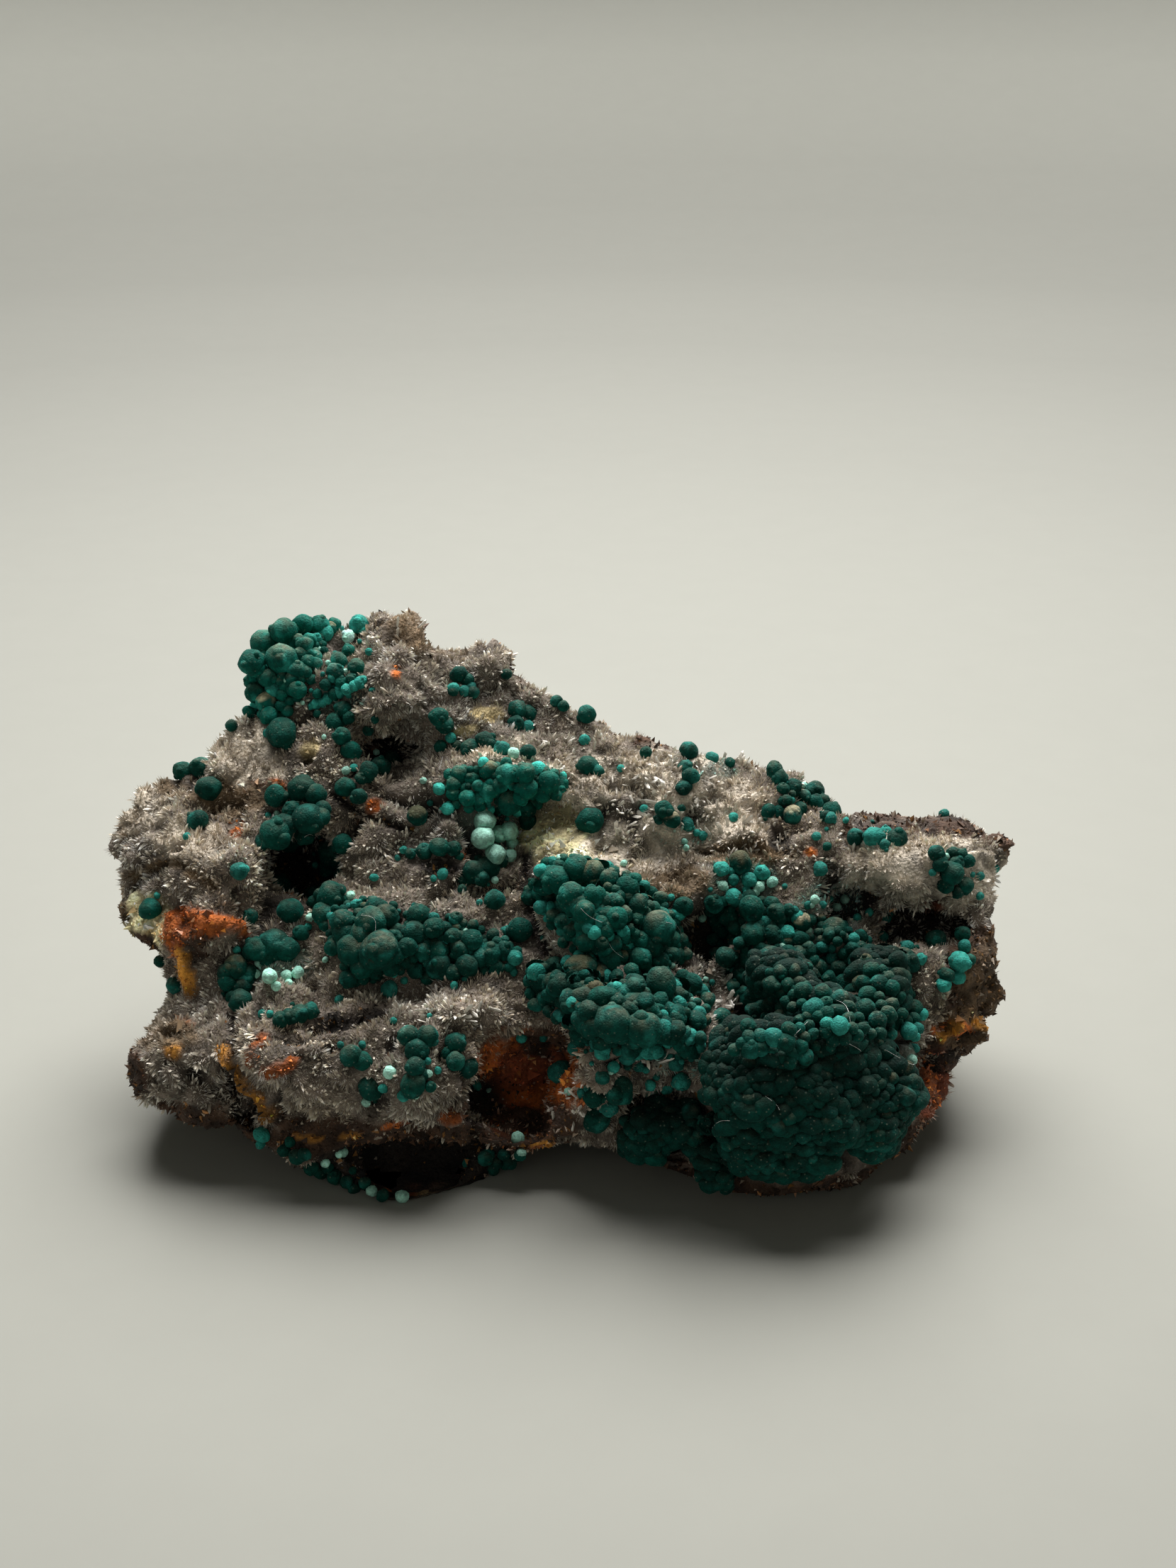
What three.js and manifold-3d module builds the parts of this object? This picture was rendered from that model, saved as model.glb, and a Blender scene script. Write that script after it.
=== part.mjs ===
// Hemimorphite specimen: a lump of brown gossan whose display face is coated with a grey druse
// and carries green botryoidal growths, single green balls and a few pale mint ones.
// Units are millimetres, +Z is up, and the specimen rests on its broken underside at Z = 0.
//
// The display face is laid out as an eye in front of it sees it. A place on it is (u, v): u runs
// to the right and v up, at the face's middle depth. w is how far a point stands out to the eye.
import * as THREE from "three";
import { mergeVertices } from "three/addons/utils/BufferGeometryUtils.js";
import { ImprovedNoise } from "three/addons/math/ImprovedNoise.js";
import Module from "manifold-3d";

// Driving dimensions of the layout
const SIGHT_ELEVATION = THREE.MathUtils.degToRad(24); // the eye looks down at this angle
const SIGHT_DISTANCE = 205; // from the eye to the face's middle depth
const SIGHT_V = 13; // the line of sight meets the face this far above its middle
const FACE_HEIGHT = 21.7; // of the face's middle above the floor
const FACE_LEAN = 0.42; // how fast the face falls back as v rises
const FACE_MIDDLE_W = -2.6; // of the leaning face at v = 0

// Driving dimensions of the body
const BODY_CENTRE = [-2, 0]; // (u, v) that the outline is star-shaped about
const BODY_DETAIL = 11; // subdivision of the sphere that is drawn over the body
const FRONT_SHARE = THREE.MathUtils.degToRad(108); // polar angle of the sphere that the face takes
const RIM_SET_BACK = 5; // of the outline's edge behind the leaning face
const EDGE_POWER = 5; // a higher power gives a squarer edge
const LUMP_POWER = 1.2; // a higher power gives a landform softer sides
const HOLLOW_POWER = 0.8;
const ROUGHNESS = 0.8; // of the broken surface
const ROUGHNESS_SCALE = 4.2;
const FRONT_LUMPS = 1.6; // of the face's unevenness
const FRONT_LUMP_SCALE = 6;
const BACK_LUMPS = 3.5; // of the broken back's unevenness
const BACK_LUMP_SCALE = 10;

// Driving dimensions of the growths
const GAP = 0.3; // between a growth and what it sits on
const BALL_PROUD = 0.4; // of a ball's radius, from the surface out to its centre
const LONE_BALL_DETAIL = 1; // a ball that stands alone is an icosahedron with this subdivision
const GROWN_BALL_DETAIL = 1; // and one in a growth an octahedron with this one
const LEAST_SWELL = 1.16; // a growth's balls swell from this until they run together
const MOST_SWELL = 1.6;
const SWELL_STEP = 0.03;
const CRUMB_SHARE = 0.02; // of a growth that may be cut off from it, and is left away
const FACET_TOLERANCE = 0.27; // facets flatter than this are joined
const CRUST_RADIUS = 2.3;
const CRUST_SPACING = 4.1;
const CRUST_JITTER = 0.25;

// The outline of the body as the eye sees it, clockwise from the left of the crest
const OUTLINE = [
  [-31.8, 24.9], [-29.8, 26.6], [-26.5, 27.8], [-22.7, 28.6], [-19, 29.1], [-16.7, 27.7],
  [-15.5, 26.3], [-12.7, 26], [-9.3, 26.1], [-7.2, 24.7], [-5.3, 22.5], [-2, 20.9], [1.3, 19.1],
  [5.7, 17.4], [8.7, 16.3], [14, 15.1], [18, 13.9], [22, 11.8], [24.3, 10], [27.3, 10.6],
  [31.3, 10.8], [36, 10.3], [39.7, 8.7], [40.4, 6.8], [39.3, 4.3], [38.1, 1.7], [39.1, -1],
  [39.8, -3.7], [39.5, -8], [38, -11], [35.7, -13.2], [34, -14.1], [34.6, -15.7], [33.7, -18],
  [30.7, -20.8], [27.7, -23.7], [24, -25.5], [18, -26], [12, -25.4], [6, -23.2], [2, -21.4],
  [-2.7, -21.4], [-6, -23], [-9.3, -23.4], [-12.7, -25.8], [-18, -26.4], [-22.7, -24.8],
  [-27.3, -22.5], [-32, -20.9], [-37.3, -18.9], [-42, -17.1], [-43.9, -15], [-44, -12.3],
  [-42.3, -9], [-40.3, -6], [-39.9, -4.5], [-42.3, -2.7], [-44.7, 0], [-44.8, 3.7],
  [-44.1, 5.7], [-45.2, 8], [-44.8, 10.7], [-42, 13], [-38.7, 14.3], [-36, 16.8],
  [-32.6, 19.3], [-31.5, 22],
];

// Landforms of the display face: [u, v, half width, half height, how far it stands out]
const LANDFORMS = [
  [-28.7, 24, 5.5, 4.5, 3.5], // crest
  [-17.7, 23, 6.5, 6, 6.5], // grey hump beside the crest
  [-40.7, 8.7, 6.5, 5.5, 2.5], // west shoulder
  [-35.5, 5.3, 5.5, 4.8, 3.5], // furred bulge
  [-37, -0.7, 3.4, 2.8, 2.5], // rusty ledge
  [-39.3, -12.8, 6.5, 6, 4], // west toe
  [-29.3, -12, 5.5, 7, 4.5], // west end of the shelf
  [-17.5, -13.3, 13.5, 7.2, 7], // shelf
  [-11.3, -7.3, 5.5, 3.4, 3.5], // pale ridge above the shelf
  [-18, -1.3, 12, 5, 3.5], // banded ridge
  [1.5, 0.7, 8, 6.3, 6], // upper dome
  [2.7, -9.3, 9.3, 7.3, 9], // lower dome
  [0, -16.3, 4.6, 5, 6.5], // foot of the lower dome
  [18.7, -15, 14.5, 12, 8.5], // apron
  [32.7, 6, 8.5, 5, 4.5], // east prow
  [33.3, -4.7, 5.5, 4.2, 2.5], // east ledge
  [6.7, 12, 9, 4.2, 1.5], // upper slope
  [-7.3, 13.5, 7, 3.2, 2.5], // ridge under the centre knot
  [-19, 16.7, 3.6, 2.4, -9], // cave under the hump
  [-26.3, 5.9, 4.2, 3.4, -10], // dark cave
  [-6.5, 8, 6, 4, -4], // centre basin
  [-6, -14.9, 5.4, 5.6, -9], // rusty hollow
  [-15.5, -22.9, 9, 2.9, -9], // recess under the shelf
  [30.7, -0.3, 5.6, 1.9, -8.5], // slot under the prow
  [25.7, 2, 2.4, 1.8, -5], // pit beside the slot
  [14.7, -8, 2.8, 5.2, -6.5], // gully between dome and apron
  [11.3, -0.9, 3, 2.4, -5], // pit beside the dome
  [8.7, -18.9, 3.6, 4.6, -6.5], // gully under the dome
  [32.4, -13.5, 4.4, 1.8, -6.5], // notch in the east rim
  [-32.3, -17.2, 2.4, 3.6, -6], // gap beside the toe
];

// Hollows of the underside, which leave three broken patches to rest on:
// [x, y, half width, half depth, height]
const UNDERSIDE_HOLLOWS = [
  [-2.5, -12, 5.5, 9, 3.4],
  [-17, 1, 14, 8, 3],
  [13, 3, 15, 7.5, 3.6],
  [1, 13, 8, 6, 2.4],
  [-37, 3, 12, 24, 5.5],
  [37, 5, 10.5, 20, 5],
];

// Outline of the apron's crust, as (u, v)
const APRON_OUTLINE = [
  [17, -5], [14.7, -10], [11.8, -13], [9.6, -16.4], [5, -18.6], [3.6, -20.4], [6.4, -21.6],
  [11.3, -23.6], [17.3, -24.2], [20.6, -23.2], [21.3, -22], [27.2, -21.4], [30, -19.2],
  [31.2, -17], [30.6, -7], [29, -4.9], [25.8, -3.8], [21.3, -4.6],
];

// Balls of the green growths: [u, v, radius]. Those of one growth run into each other.
const GROWTHS = {
  crest_crust: [
    [-31.6, 24.9, 1.35], [-30, 25.9, 1.5], [-28.4, 26.9, 1.3], [-26.5, 27.3, 1.3], [-29.2, 25.2, 1.5],
    [-28.4, 24.5, 1.55], [-27.1, 24.6, 1.4], [-29.9, 23.2, 1.3], [-30.9, 21.9, 1.2], [-30.2, 20.7, 1.2],
    [-30, 19.6, 1.05],
  ],
  crest_beads: [[-23.5, 24.5, 0.95], [-23.7, 23.6, 0.85], [-22.3, 25.4, 0.85], [-21.9, 24.1, 0.95]],
  cave_beads: [[-23.8, 18.8, 1], [-23, 19.8, 0.9], [-23.2, 17.6, 0.95], [-22.5, 16.2, 1]],
  hump_foot: [[-20.7, 14, 1.2], [-19.6, 14.4, 1.3], [-18.5, 14.9, 1.2]],
  shoulder_trio: [[-38, 13.9, 1], [-36.4, 14.3, 1.15], [-35.7, 12.6, 1.2]],
  cave_knot: [
    [-27, 12.5, 1.4], [-25.6, 12, 1.2], [-27.8, 10.8, 1], [-26.3, 10, 1.45], [-28.3, 9.3, 1.15],
    [-29.5, 8.4, 1.45],
  ],
  cave_side: [[-23.8, 6.4, 1.25], [-23, 7.5, 1]],
  band_west: [
    [-25.4, 2.5, 1.2], [-24.1, 2.3, 1.35], [-24.6, 0.8, 1.2], [-22.9, -0.2, 1.4], [-21.3, -0.2, 1.3],
    [-20.2, 0.7, 1.4], [-20.2, -0.9, 1.5], [-21.7, -2.3, 1.45], [-19.6, -2.6, 1.6], [-20.9, -4.2, 1.3],
  ],
  band_east: [
    [-16, 0.5, 1.25], [-15.6, -1, 1.3], [-14.4, -0.5, 1.2], [-15, -2.6, 1.3], [-13.8, -4.1, 1.35],
    [-12.4, -2.5, 1.25], [-11, -2, 1.2], [-11.2, -3.8, 1.25], [-9.6, -3, 1.2], [-8.1, -2.8, 1.1],
  ],
  centre_knot: [
    [-12.5, 13, 1.15], [-11, 13.5, 1.05], [-12.2, 11.9, 1.05], [-10, 12.7, 1.15], [-8.6, 12.4, 1.1],
    [-7.3, 11.7, 1.25], [-8.1, 13.7, 1.1], [-6.4, 13.3, 1.15], [-4.8, 12.9, 1.15], [-3.4, 12.5, 1.15],
  ],
  centre_band: [[-12.8, 7, 0.85], [-14, 7.1, 1], [-15.3, 6.7, 0.9]],
  basin_lump: [[-10.7, 4.8, 1.1], [-9.4, 5.2, 1.2], [-8.3, 5.8, 0.95]],
  upper_dome: [
    [-2.9, 3.6, 1.7], [-0.9, 4.6, 1.6], [1.1, 4.2, 1.5], [-1.2, 2, 1.7], [1.4, 2.2, 1.6], [3.6, 2.7, 1.5],
    [0.2, -0.4, 1.7], [2.6, 0, 1.6], [5.1, 1.2, 1.6], [6.6, -0.5, 1.7], [4.2, -1.6, 1.6], [1.6, -2.4, 1.6],
    [5.6, -2.6, 1.5],
  ],
  lower_dome: [
    [-4.3, -5.2, 1.6], [-2.2, -5.6, 1.7], [0.2, -5.8, 1.7], [-3, -7, 1.6], [-0.7, -7.9, 1.8], [1.8, -8, 2],
    [4, -6.6, 1.7], [6.4, -6.2, 1.7], [8.2, -6.9, 1.5], [5.8, -8.3, 1.8], [8.2, -8.9, 1.6], [3.9, -10, 1.9],
    [1, -10, 1.7], [6.3, -10.3, 1.7], [8.4, -10.9, 1.4],
  ],
  dome_foot: [[2.7, -15.8, 1.45], [1, -18, 1.45], [1, -16.3, 1.1]],
  turquoise_knot: [[14.5, 5.1, 1.25], [12.9, 4.6, 1], [14, 3.5, 1], [16.1, 4.3, 1], [13.7, 2.2, 1.05]],
  east_row: [
    [12.5, 1, 1.3], [14, 0.4, 1.25], [15.6, 1.1, 1.4], [17.5, 0.8, 1.25], [16, -1.1, 1.5], [18.6, -0.9, 1.25],
    [20, -0.9, 1.25], [14, -2.6, 1.4], [15.8, -3.2, 1.3], [17.8, -2.7, 1.3],
  ],
  ledge_balls: [[27.9, -2.8, 1.2], [29.3, -3.4, 1.05], [30.4, -4, 1.1], [29.8, -2.4, 0.9]],
  prow_knot: [[33.6, 5.4, 1], [34.6, 4.1, 1.25], [35.5, 5.8, 0.95], [33.1, 6.5, 0.8]],
  prow_trio: [[25.3, 7.9, 1], [27, 7.9, 1.1], [28.9, 7.8, 1.1]],
  skyline_crust: [[17.8, 13, 1.2], [19.4, 12.3, 1.2], [21, 11.5, 1.2], [22.4, 10.6, 1.1]],
  slope_pair: [[7.1, 10.5, 1], [8, 9.6, 1], [9.2, 9.1, 0.9]],
  west_cluster: [[-30.9, -2.7, 1.1], [-29.4, -2.5, 1.2], [-28.2, -2.9, 1]],
  west_lump: [[-33.2, -4.3, 1.4], [-32, -5, 1.2], [-32.7, -6.3, 1.1], [-32.8, -7.3, 1.1]],
  finger: [[-28.8, -9, 0.7], [-27.9, -8.7, 0.8], [-26.9, -8.5, 0.8], [-26, -8.2, 0.75]],
  shelf_pair: [[-22.5, -12.5, 1.05], [-21.3, -13.1, 1]],
  shelf_stack: [
    [-16.9, -10.9, 1.1], [-15.1, -10.7, 1.1], [-16, -12, 1.2], [-16.3, -13.5, 1.05], [-16.6, -15.2, 1.2],
  ],
  shelf_trio: [[-12.7, -11.7, 1.1], [-12.6, -13, 1.05], [-11.4, -13.5, 1.1]],
};

// Balls that stand alone: [u, v, radius]
const LONE_BALLS = {
  west_ball: [-41.2, 1.3, 1],
  shoulder_ball: [-36.7, 9.6, 1.05],
  crest_ball: [-28.8, 17.8, 1.45],
  cave_ball: [-29.7, 12, 1.1],
  band_end_ball: [-29, 3.3, 1.15],
  band_foot_ball: [-28, 1.1, 1.15],
  basin_ball: [-6.3, -0.7, 1.2],
  ridge_ball: [-8.8, 2.1, 1.05],
  slope_ball: [-0.5, 10, 1.3],
  dome_ball: [9.2, 1.5, 1.1],
  shelf_drop: [-20.3, -15.6, 1.2],
  hollow_ball: [-2.7, -13.9, 1.35],
  mint_ball: [-10, 8.8, 1.05],
};

const COLOURS = { druse: 0x8f857f, green: 0x0f5a50, mint: 0x8cc5b2 };

const wasm = await Module();
wasm.setup();
const noise = new ImprovedNoise();

// The layout's three directions and the eye, in the part's own axes
const ACROSS = new THREE.Vector3(1, 0, 0);
const UP = new THREE.Vector3(0, Math.sin(SIGHT_ELEVATION), Math.cos(SIGHT_ELEVATION));
const OUT = new THREE.Vector3(0, -Math.cos(SIGHT_ELEVATION), Math.sin(SIGHT_ELEVATION));
const EYE = facePoint(0, SIGHT_V, SIGHT_DISTANCE);

// A point that the eye sees at (u, v), standing out by w
function facePoint(u, v, w) {
  const drawnIn = 1 - w / SIGHT_DISTANCE;
  return new THREE.Vector3(0, 0, FACE_HEIGHT)
    .addScaledVector(ACROSS, u * drawnIn)
    .addScaledVector(UP, SIGHT_V + (v - SIGHT_V) * drawnIn)
    .addScaledVector(OUT, w);
}

// A closed geometry as a solid for joining and cutting
function solidOf(geometry) {
  const shell = geometry.clone();
  shell.deleteAttribute("normal");
  shell.deleteAttribute("uv");
  const merged = mergeVertices(shell, 1e-4);
  return new wasm.Manifold(
    new wasm.Mesh({
      numProp: 3,
      vertProperties: merged.getAttribute("position").array,
      triVerts: new Uint32Array(merged.index.array),
    }),
  );
}

function geometryOf(solid) {
  const { vertProperties, triVerts } = solid.getMesh();
  const geometry = new THREE.BufferGeometry();
  geometry.setAttribute("position", new THREE.BufferAttribute(vertProperties, 3));
  geometry.setIndex(new THREE.BufferAttribute(triVerts, 1));
  geometry.computeVertexNormals();
  return geometry;
}

// The same solid with every vertex moved out along its normal
function grown(solid, distance) {
  const geometry = geometryOf(solid);
  const position = geometry.getAttribute("position");
  const normal = geometry.getAttribute("normal");
  const point = new THREE.Vector3();
  for (let i = 0; i < position.count; i++) {
    point.fromBufferAttribute(position, i);
    point.addScaledVector(new THREE.Vector3().fromBufferAttribute(normal, i), distance);
    position.setXYZ(i, point.x, point.y, point.z);
  }
  return solidOf(geometry);
}

// How far the outline lies from the body's centre in a direction, read off a smooth closed curve
function outlineReach() {
  const points = OUTLINE.map(([u, v]) => new THREE.Vector3(u - BODY_CENTRE[0], v - BODY_CENTRE[1], 0));
  const curve = new THREE.CatmullRomCurve3(points, true, "centripetal");
  const samples = curve.getPoints(OUTLINE.length * 8).map((p) => [Math.atan2(p.y, p.x), p.length()]);
  samples.sort((a, b) => a[0] - b[0]);
  return (angle) => {
    const next = samples.findIndex(([a]) => a >= angle);
    const [a1, r1] = samples[next < 0 ? 0 : next];
    const [a0, r0] = samples[next <= 0 ? samples.length - 1 : next - 1];
    const turn = 2 * Math.PI;
    const span = (a1 - a0 + turn) % turn;
    const share = span > 0 ? ((angle - a0 + turn) % turn) / span : 0;
    return r0 + (r1 - r0) * share;
  };
}

const leaningFace = (v) => FACE_MIDDLE_W - FACE_LEAN * v;

// Depth of the display face: the leaning face with its landforms
function frontDepth(u, v) {
  let w = leaningFace(v) + FRONT_LUMPS * noise.noise(u / FRONT_LUMP_SCALE, v / FRONT_LUMP_SCALE, 0.5);
  for (const [cu, cv, halfWidth, halfHeight, height] of LANDFORMS) {
    const away = ((u - cu) / halfWidth) ** 2 + ((v - cv) / halfHeight) ** 2;
    if (away < 1) w += height * (1 - away) ** (height > 0 ? LUMP_POWER : HOLLOW_POWER);
  }
  return w;
}

// Depth of the back: three broken planes with lumps
function backDepth(u, v) {
  const planes = [-30 + 0.3 * v, -34 - 0.38 * u, -35 + 0.2 * v + 0.42 * u];
  return Math.max(...planes) + BACK_LUMPS * noise.noise(u / BACK_LUMP_SCALE, v / BACK_LUMP_SCALE, 3.7);
}

// The body: a sphere drawn over the outline, with the face on its front and the break on its back
function bodySolid() {
  const reach = outlineReach();
  const sphere = new THREE.IcosahedronGeometry(1, BODY_DETAIL);
  const position = sphere.getAttribute("position");
  const n = new THREE.Vector3();
  const frontSpan = 1 - Math.cos(FRONT_SHARE);
  for (let i = 0; i < position.count; i++) {
    n.fromBufferAttribute(position, i).normalize();
    const angle = Math.atan2(n.y, n.x);
    const isFront = n.z >= Math.cos(FRONT_SHARE);
    const spread = isFront ? (1 - n.z) / frontSpan : (1 + n.z) / (2 - frontSpan);
    const share = Math.min(1, Math.sqrt(spread));
    const u = BODY_CENTRE[0] + reach(angle) * share * Math.cos(angle);
    const v = BODY_CENTRE[1] + reach(angle) * share * Math.sin(angle);
    const rim = leaningFace(v) - RIM_SET_BACK;
    const depth = isFront ? frontDepth(u, v) : backDepth(u, v);
    const w = rim + (depth - rim) * Math.sqrt(Math.max(0, 1 - share ** EDGE_POWER));
    const p = roughen(facePoint(u, v, w), n);
    position.setXYZ(i, p.x, p.y, p.z);
  }
  return solidOf(sphere);
}

// Moves a point along a direction by the roughness of a broken surface
function roughen(point, direction) {
  const place = point.clone().divideScalar(ROUGHNESS_SCALE);
  return point.addScaledVector(direction, ROUGHNESS * noise.noise(place.x, place.y, place.z));
}

// A rough-walled hollow that opens at the floor
function floorHollow(x, y, halfWidth, halfDepth, height) {
  const geometry = new THREE.IcosahedronGeometry(1, 3);
  const position = geometry.getAttribute("position");
  const p = new THREE.Vector3();
  for (let i = 0; i < position.count; i++) {
    p.fromBufferAttribute(position, i);
    const n = p.clone();
    p.multiply(new THREE.Vector3(halfWidth, halfDepth, height)).add(new THREE.Vector3(x, y, 0));
    roughen(p, n);
    position.setXYZ(i, p.x, p.y, p.z);
  }
  return solidOf(geometry);
}

// Everything below a height
function floorBlock(height) {
  const size = 200;
  return solidOf(new THREE.BoxGeometry(size, size, size).translate(0, 0, height - size / 2));
}

// The gossan with its druse: the body cut off at the floor, its underside hollowed
function matrixSolid() {
  let matrix = bodySolid().subtract(floorBlock(0));
  for (const hollow of UNDERSIDE_HOLLOWS) matrix = matrix.subtract(floorHollow(...hollow));
  return matrix.asOriginal().simplify(FACET_TOLERANCE);
}

// Where a ball seen at (u, v) sits on the target's surface. One on the skyline takes the depth of
// the surface a little further in.
function seat(target, u, v, radius) {
  for (let inward = 1; inward > 0.8; inward -= 0.01) {
    const aim = facePoint(
      BODY_CENTRE[0] + (u - BODY_CENTRE[0]) * inward,
      BODY_CENTRE[1] + (v - BODY_CENTRE[1]) * inward,
      0,
    );
    const direction = aim.sub(EYE).normalize();
    const [hit] = new THREE.Raycaster(EYE, direction).intersectObject(target, false);
    if (hit) {
      const w = SIGHT_DISTANCE + hit.point.sub(EYE).dot(OUT);
      return facePoint(u, v, w + BALL_PROUD * radius);
    }
  }
  throw new Error(`nothing under the ball at ${u}, ${v}`);
}

// Whether two vertices of a solid lie in the same place
function touchesItself(solid) {
  const { vertProperties } = solid.getMesh();
  const places = new Set();
  for (let i = 0; i < vertProperties.length; i += 3) {
    places.add(Array.from(vertProperties.subarray(i, i + 3), (x) => x.toFixed(3)).join());
  }
  return places.size < vertProperties.length / 3;
}

// A ball that stands alone
function loneBall(target, [u, v, radius]) {
  const centre = seat(target, u, v, radius);
  return solidOf(new THREE.IcosahedronGeometry(radius, LONE_BALL_DETAIL).translate(...centre.toArray()));
}

// A ball of a growth, turned so that its facets don't line up with its neighbours'
function grownBall(target, [u, v, radius], swell) {
  const ball = new THREE.OctahedronGeometry(radius * swell, GROWN_BALL_DETAIL).rotateX(u).rotateZ(v);
  return solidOf(ball.translate(...seat(target, u, v, radius).toArray()));
}

// The balls of a growth as one solid, cut back to what is not taken
function growthSolid(target, balls, taken) {
  const cutBack = (solids) => wasm.Manifold.union(solids).subtract(taken).asOriginal().simplify(FACET_TOLERANCE);
  if (balls.length === 1) return cutBack([loneBall(target, balls[0])]);
  for (let swell = LEAST_SWELL; swell < MOST_SWELL; swell += SWELL_STEP) {
    const growth = cutBack(balls.map((ball) => grownBall(target, ball, swell)));
    const [main] = growth.decompose().sort((a, b) => b.volume() - a.volume());
    const isWhole = main.volume() > (1 - CRUMB_SHARE) * growth.volume();
    if (isWhole && !touchesItself(main)) return main;
  }
  throw new Error(`the growth at ${balls[0]} falls apart`);
}

// Even random numbers from 0 to 1, the same ones each time
function randomFrom(seed) {
  let state = seed;
  return () => {
    state = (Math.imul(state, 1664525) + 1013904223) >>> 0;
    return state / 2 ** 32;
  };
}

function isInside(outline, u, v) {
  let inside = false;
  outline.forEach(([u0, v0], i) => {
    const [u1, v1] = outline[(i + 1) % outline.length];
    if (v0 > v !== v1 > v && u < u0 + ((v - v0) / (v1 - v0)) * (u1 - u0)) inside = !inside;
  });
  return inside;
}

// The apron's crust as rows of balls that fill its outline
function apronBalls() {
  const random = randomFrom(7);
  const balls = [];
  const rowHeight = CRUST_SPACING * Math.sqrt(0.75);
  for (let row = 0, v = -26; v < -3; row++, v += rowHeight) {
    for (let u = 2 + ((row % 2) * CRUST_SPACING) / 2; u < 33; u += CRUST_SPACING) {
      const du = (random() - 0.5) * 2 * CRUST_JITTER * CRUST_SPACING;
      const dv = (random() - 0.5) * 2 * CRUST_JITTER * CRUST_SPACING;
      const radius = CRUST_RADIUS * (0.85 + 0.3 * random());
      if (isInside(APRON_OUTLINE, u + du, v + dv)) balls.push([u + du, v + dv, radius]);
    }
  }
  return balls;
}

function named(name, geometry, colour, roughness) {
  const mesh = new THREE.Mesh(geometry, new THREE.MeshStandardMaterial({ color: colour, roughness, metalness: 0 }));
  mesh.name = name;
  return mesh;
}

const specimen = new THREE.Group();
const matrix = matrixSolid();
const matrixMesh = named("matrix", geometryOf(matrix), COLOURS.druse, 0.9);
specimen.add(matrixMesh);

// Each growth keeps clear of the floor, of the matrix and of the growths before it.
let taken = grown(matrix, GAP).add(floorBlock(GAP));
const growths = { apron_crust: apronBalls(), ...GROWTHS };
for (const [name, ball] of Object.entries(LONE_BALLS)) growths[name] = [ball];
for (const [name, balls] of Object.entries(growths)) {
  const growth = growthSolid(matrixMesh, balls, taken);
  taken = taken.add(grown(growth, GAP));
  const colour = name.startsWith("mint") ? COLOURS.mint : COLOURS.green;
  specimen.add(named(name, geometryOf(growth), colour, 0.7));
}

// The origin is under the middle of the specimen.
const box = new THREE.Box3().setFromObject(specimen);
specimen.position.set(-(box.min.x + box.max.x) / 2, -(box.min.y + box.max.y) / 2, -box.min.z);

export default specimen;
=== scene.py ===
"""Dresses the solids of a hemimorphite specimen.

A grey needle druse covers the brown gossan, and dark green balls and crusts stand on it. Places on the
display face are given in pixels of the reference picture, 1659 by 2212, and each piece is set down on the
surface that lies under its pixel. Sizes are in millimetres in the tables and in metres on the settings.
"""

import math

import bmesh
import bpy
import numpy as np
from bpy.props import FloatProperty, FloatVectorProperty, IntProperty, PointerProperty
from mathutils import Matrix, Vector
from mathutils.bvhtree import BVHTree
from mathutils.kdtree import KDTree


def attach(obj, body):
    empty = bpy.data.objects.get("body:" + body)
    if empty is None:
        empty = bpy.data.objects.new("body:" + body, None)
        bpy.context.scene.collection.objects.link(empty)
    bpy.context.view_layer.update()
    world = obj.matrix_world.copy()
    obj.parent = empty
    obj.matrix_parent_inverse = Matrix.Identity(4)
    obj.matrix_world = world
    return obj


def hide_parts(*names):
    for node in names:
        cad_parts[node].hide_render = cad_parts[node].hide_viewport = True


bl_info = {
    "name": "Hemimorphite Specimen",
    "version": (1, 0, 0),
    "blender": (4, 5, 0),
    "location": "View3D > Sidebar > Specimen",
    "description": "Dresses the specimen's solids with druse, balls, stains and dust",
    "category": "Object",
}

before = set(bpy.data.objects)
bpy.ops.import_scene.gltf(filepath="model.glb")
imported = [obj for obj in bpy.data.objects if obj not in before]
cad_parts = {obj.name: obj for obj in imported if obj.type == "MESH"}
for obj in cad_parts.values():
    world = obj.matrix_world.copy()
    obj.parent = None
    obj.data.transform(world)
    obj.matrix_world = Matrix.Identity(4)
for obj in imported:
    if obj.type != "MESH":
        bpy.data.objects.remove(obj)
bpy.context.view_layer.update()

MM = 0.001

# The eye that the display face is laid out for, in millimetres
PIXELS_PER_MM = 15.0
FACE_PIXEL = (830.0, 1300.0)  # the pixel of the face's middle
FACE_MIDDLE = np.array([2.35, -5.26, 21.7])
SIGHT_ELEVATION = math.radians(24)
SIGHT_DISTANCE = 205.0
SIGHT_RISE = 13.0  # how far above the face's middle the eye looks
SENSOR_WIDTH = 36.0
ACROSS = np.array([1.0, 0.0, 0.0])
UP = np.array([0.0, math.sin(SIGHT_ELEVATION), math.cos(SIGHT_ELEVATION)])
OUT = np.array([0.0, -math.cos(SIGHT_ELEVATION), math.sin(SIGHT_ELEVATION)])
EYE = FACE_MIDDLE + UP * SIGHT_RISE + OUT * SIGHT_DISTANCE
BODY_PIXEL = (800.0, 1300.0)  # the pixel that places beyond the skyline are drawn in towards
SKYLINE_STEP = 3.0  # how far such a place is drawn in at a time, in pixels
SKYLINE_STEPS = 60

# The floor, which turns up all round the specimen, in metres
FLAT_REACHES = (0.06, 0.12, 0.18, 0.24, 0.30, 0.34)
CURVE_START = 0.43
CURVE_RADIUS = 0.35
CURVE_STEPS = 16
WALL_TOP = 1.4
FLOOR_SIDES = 96
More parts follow.
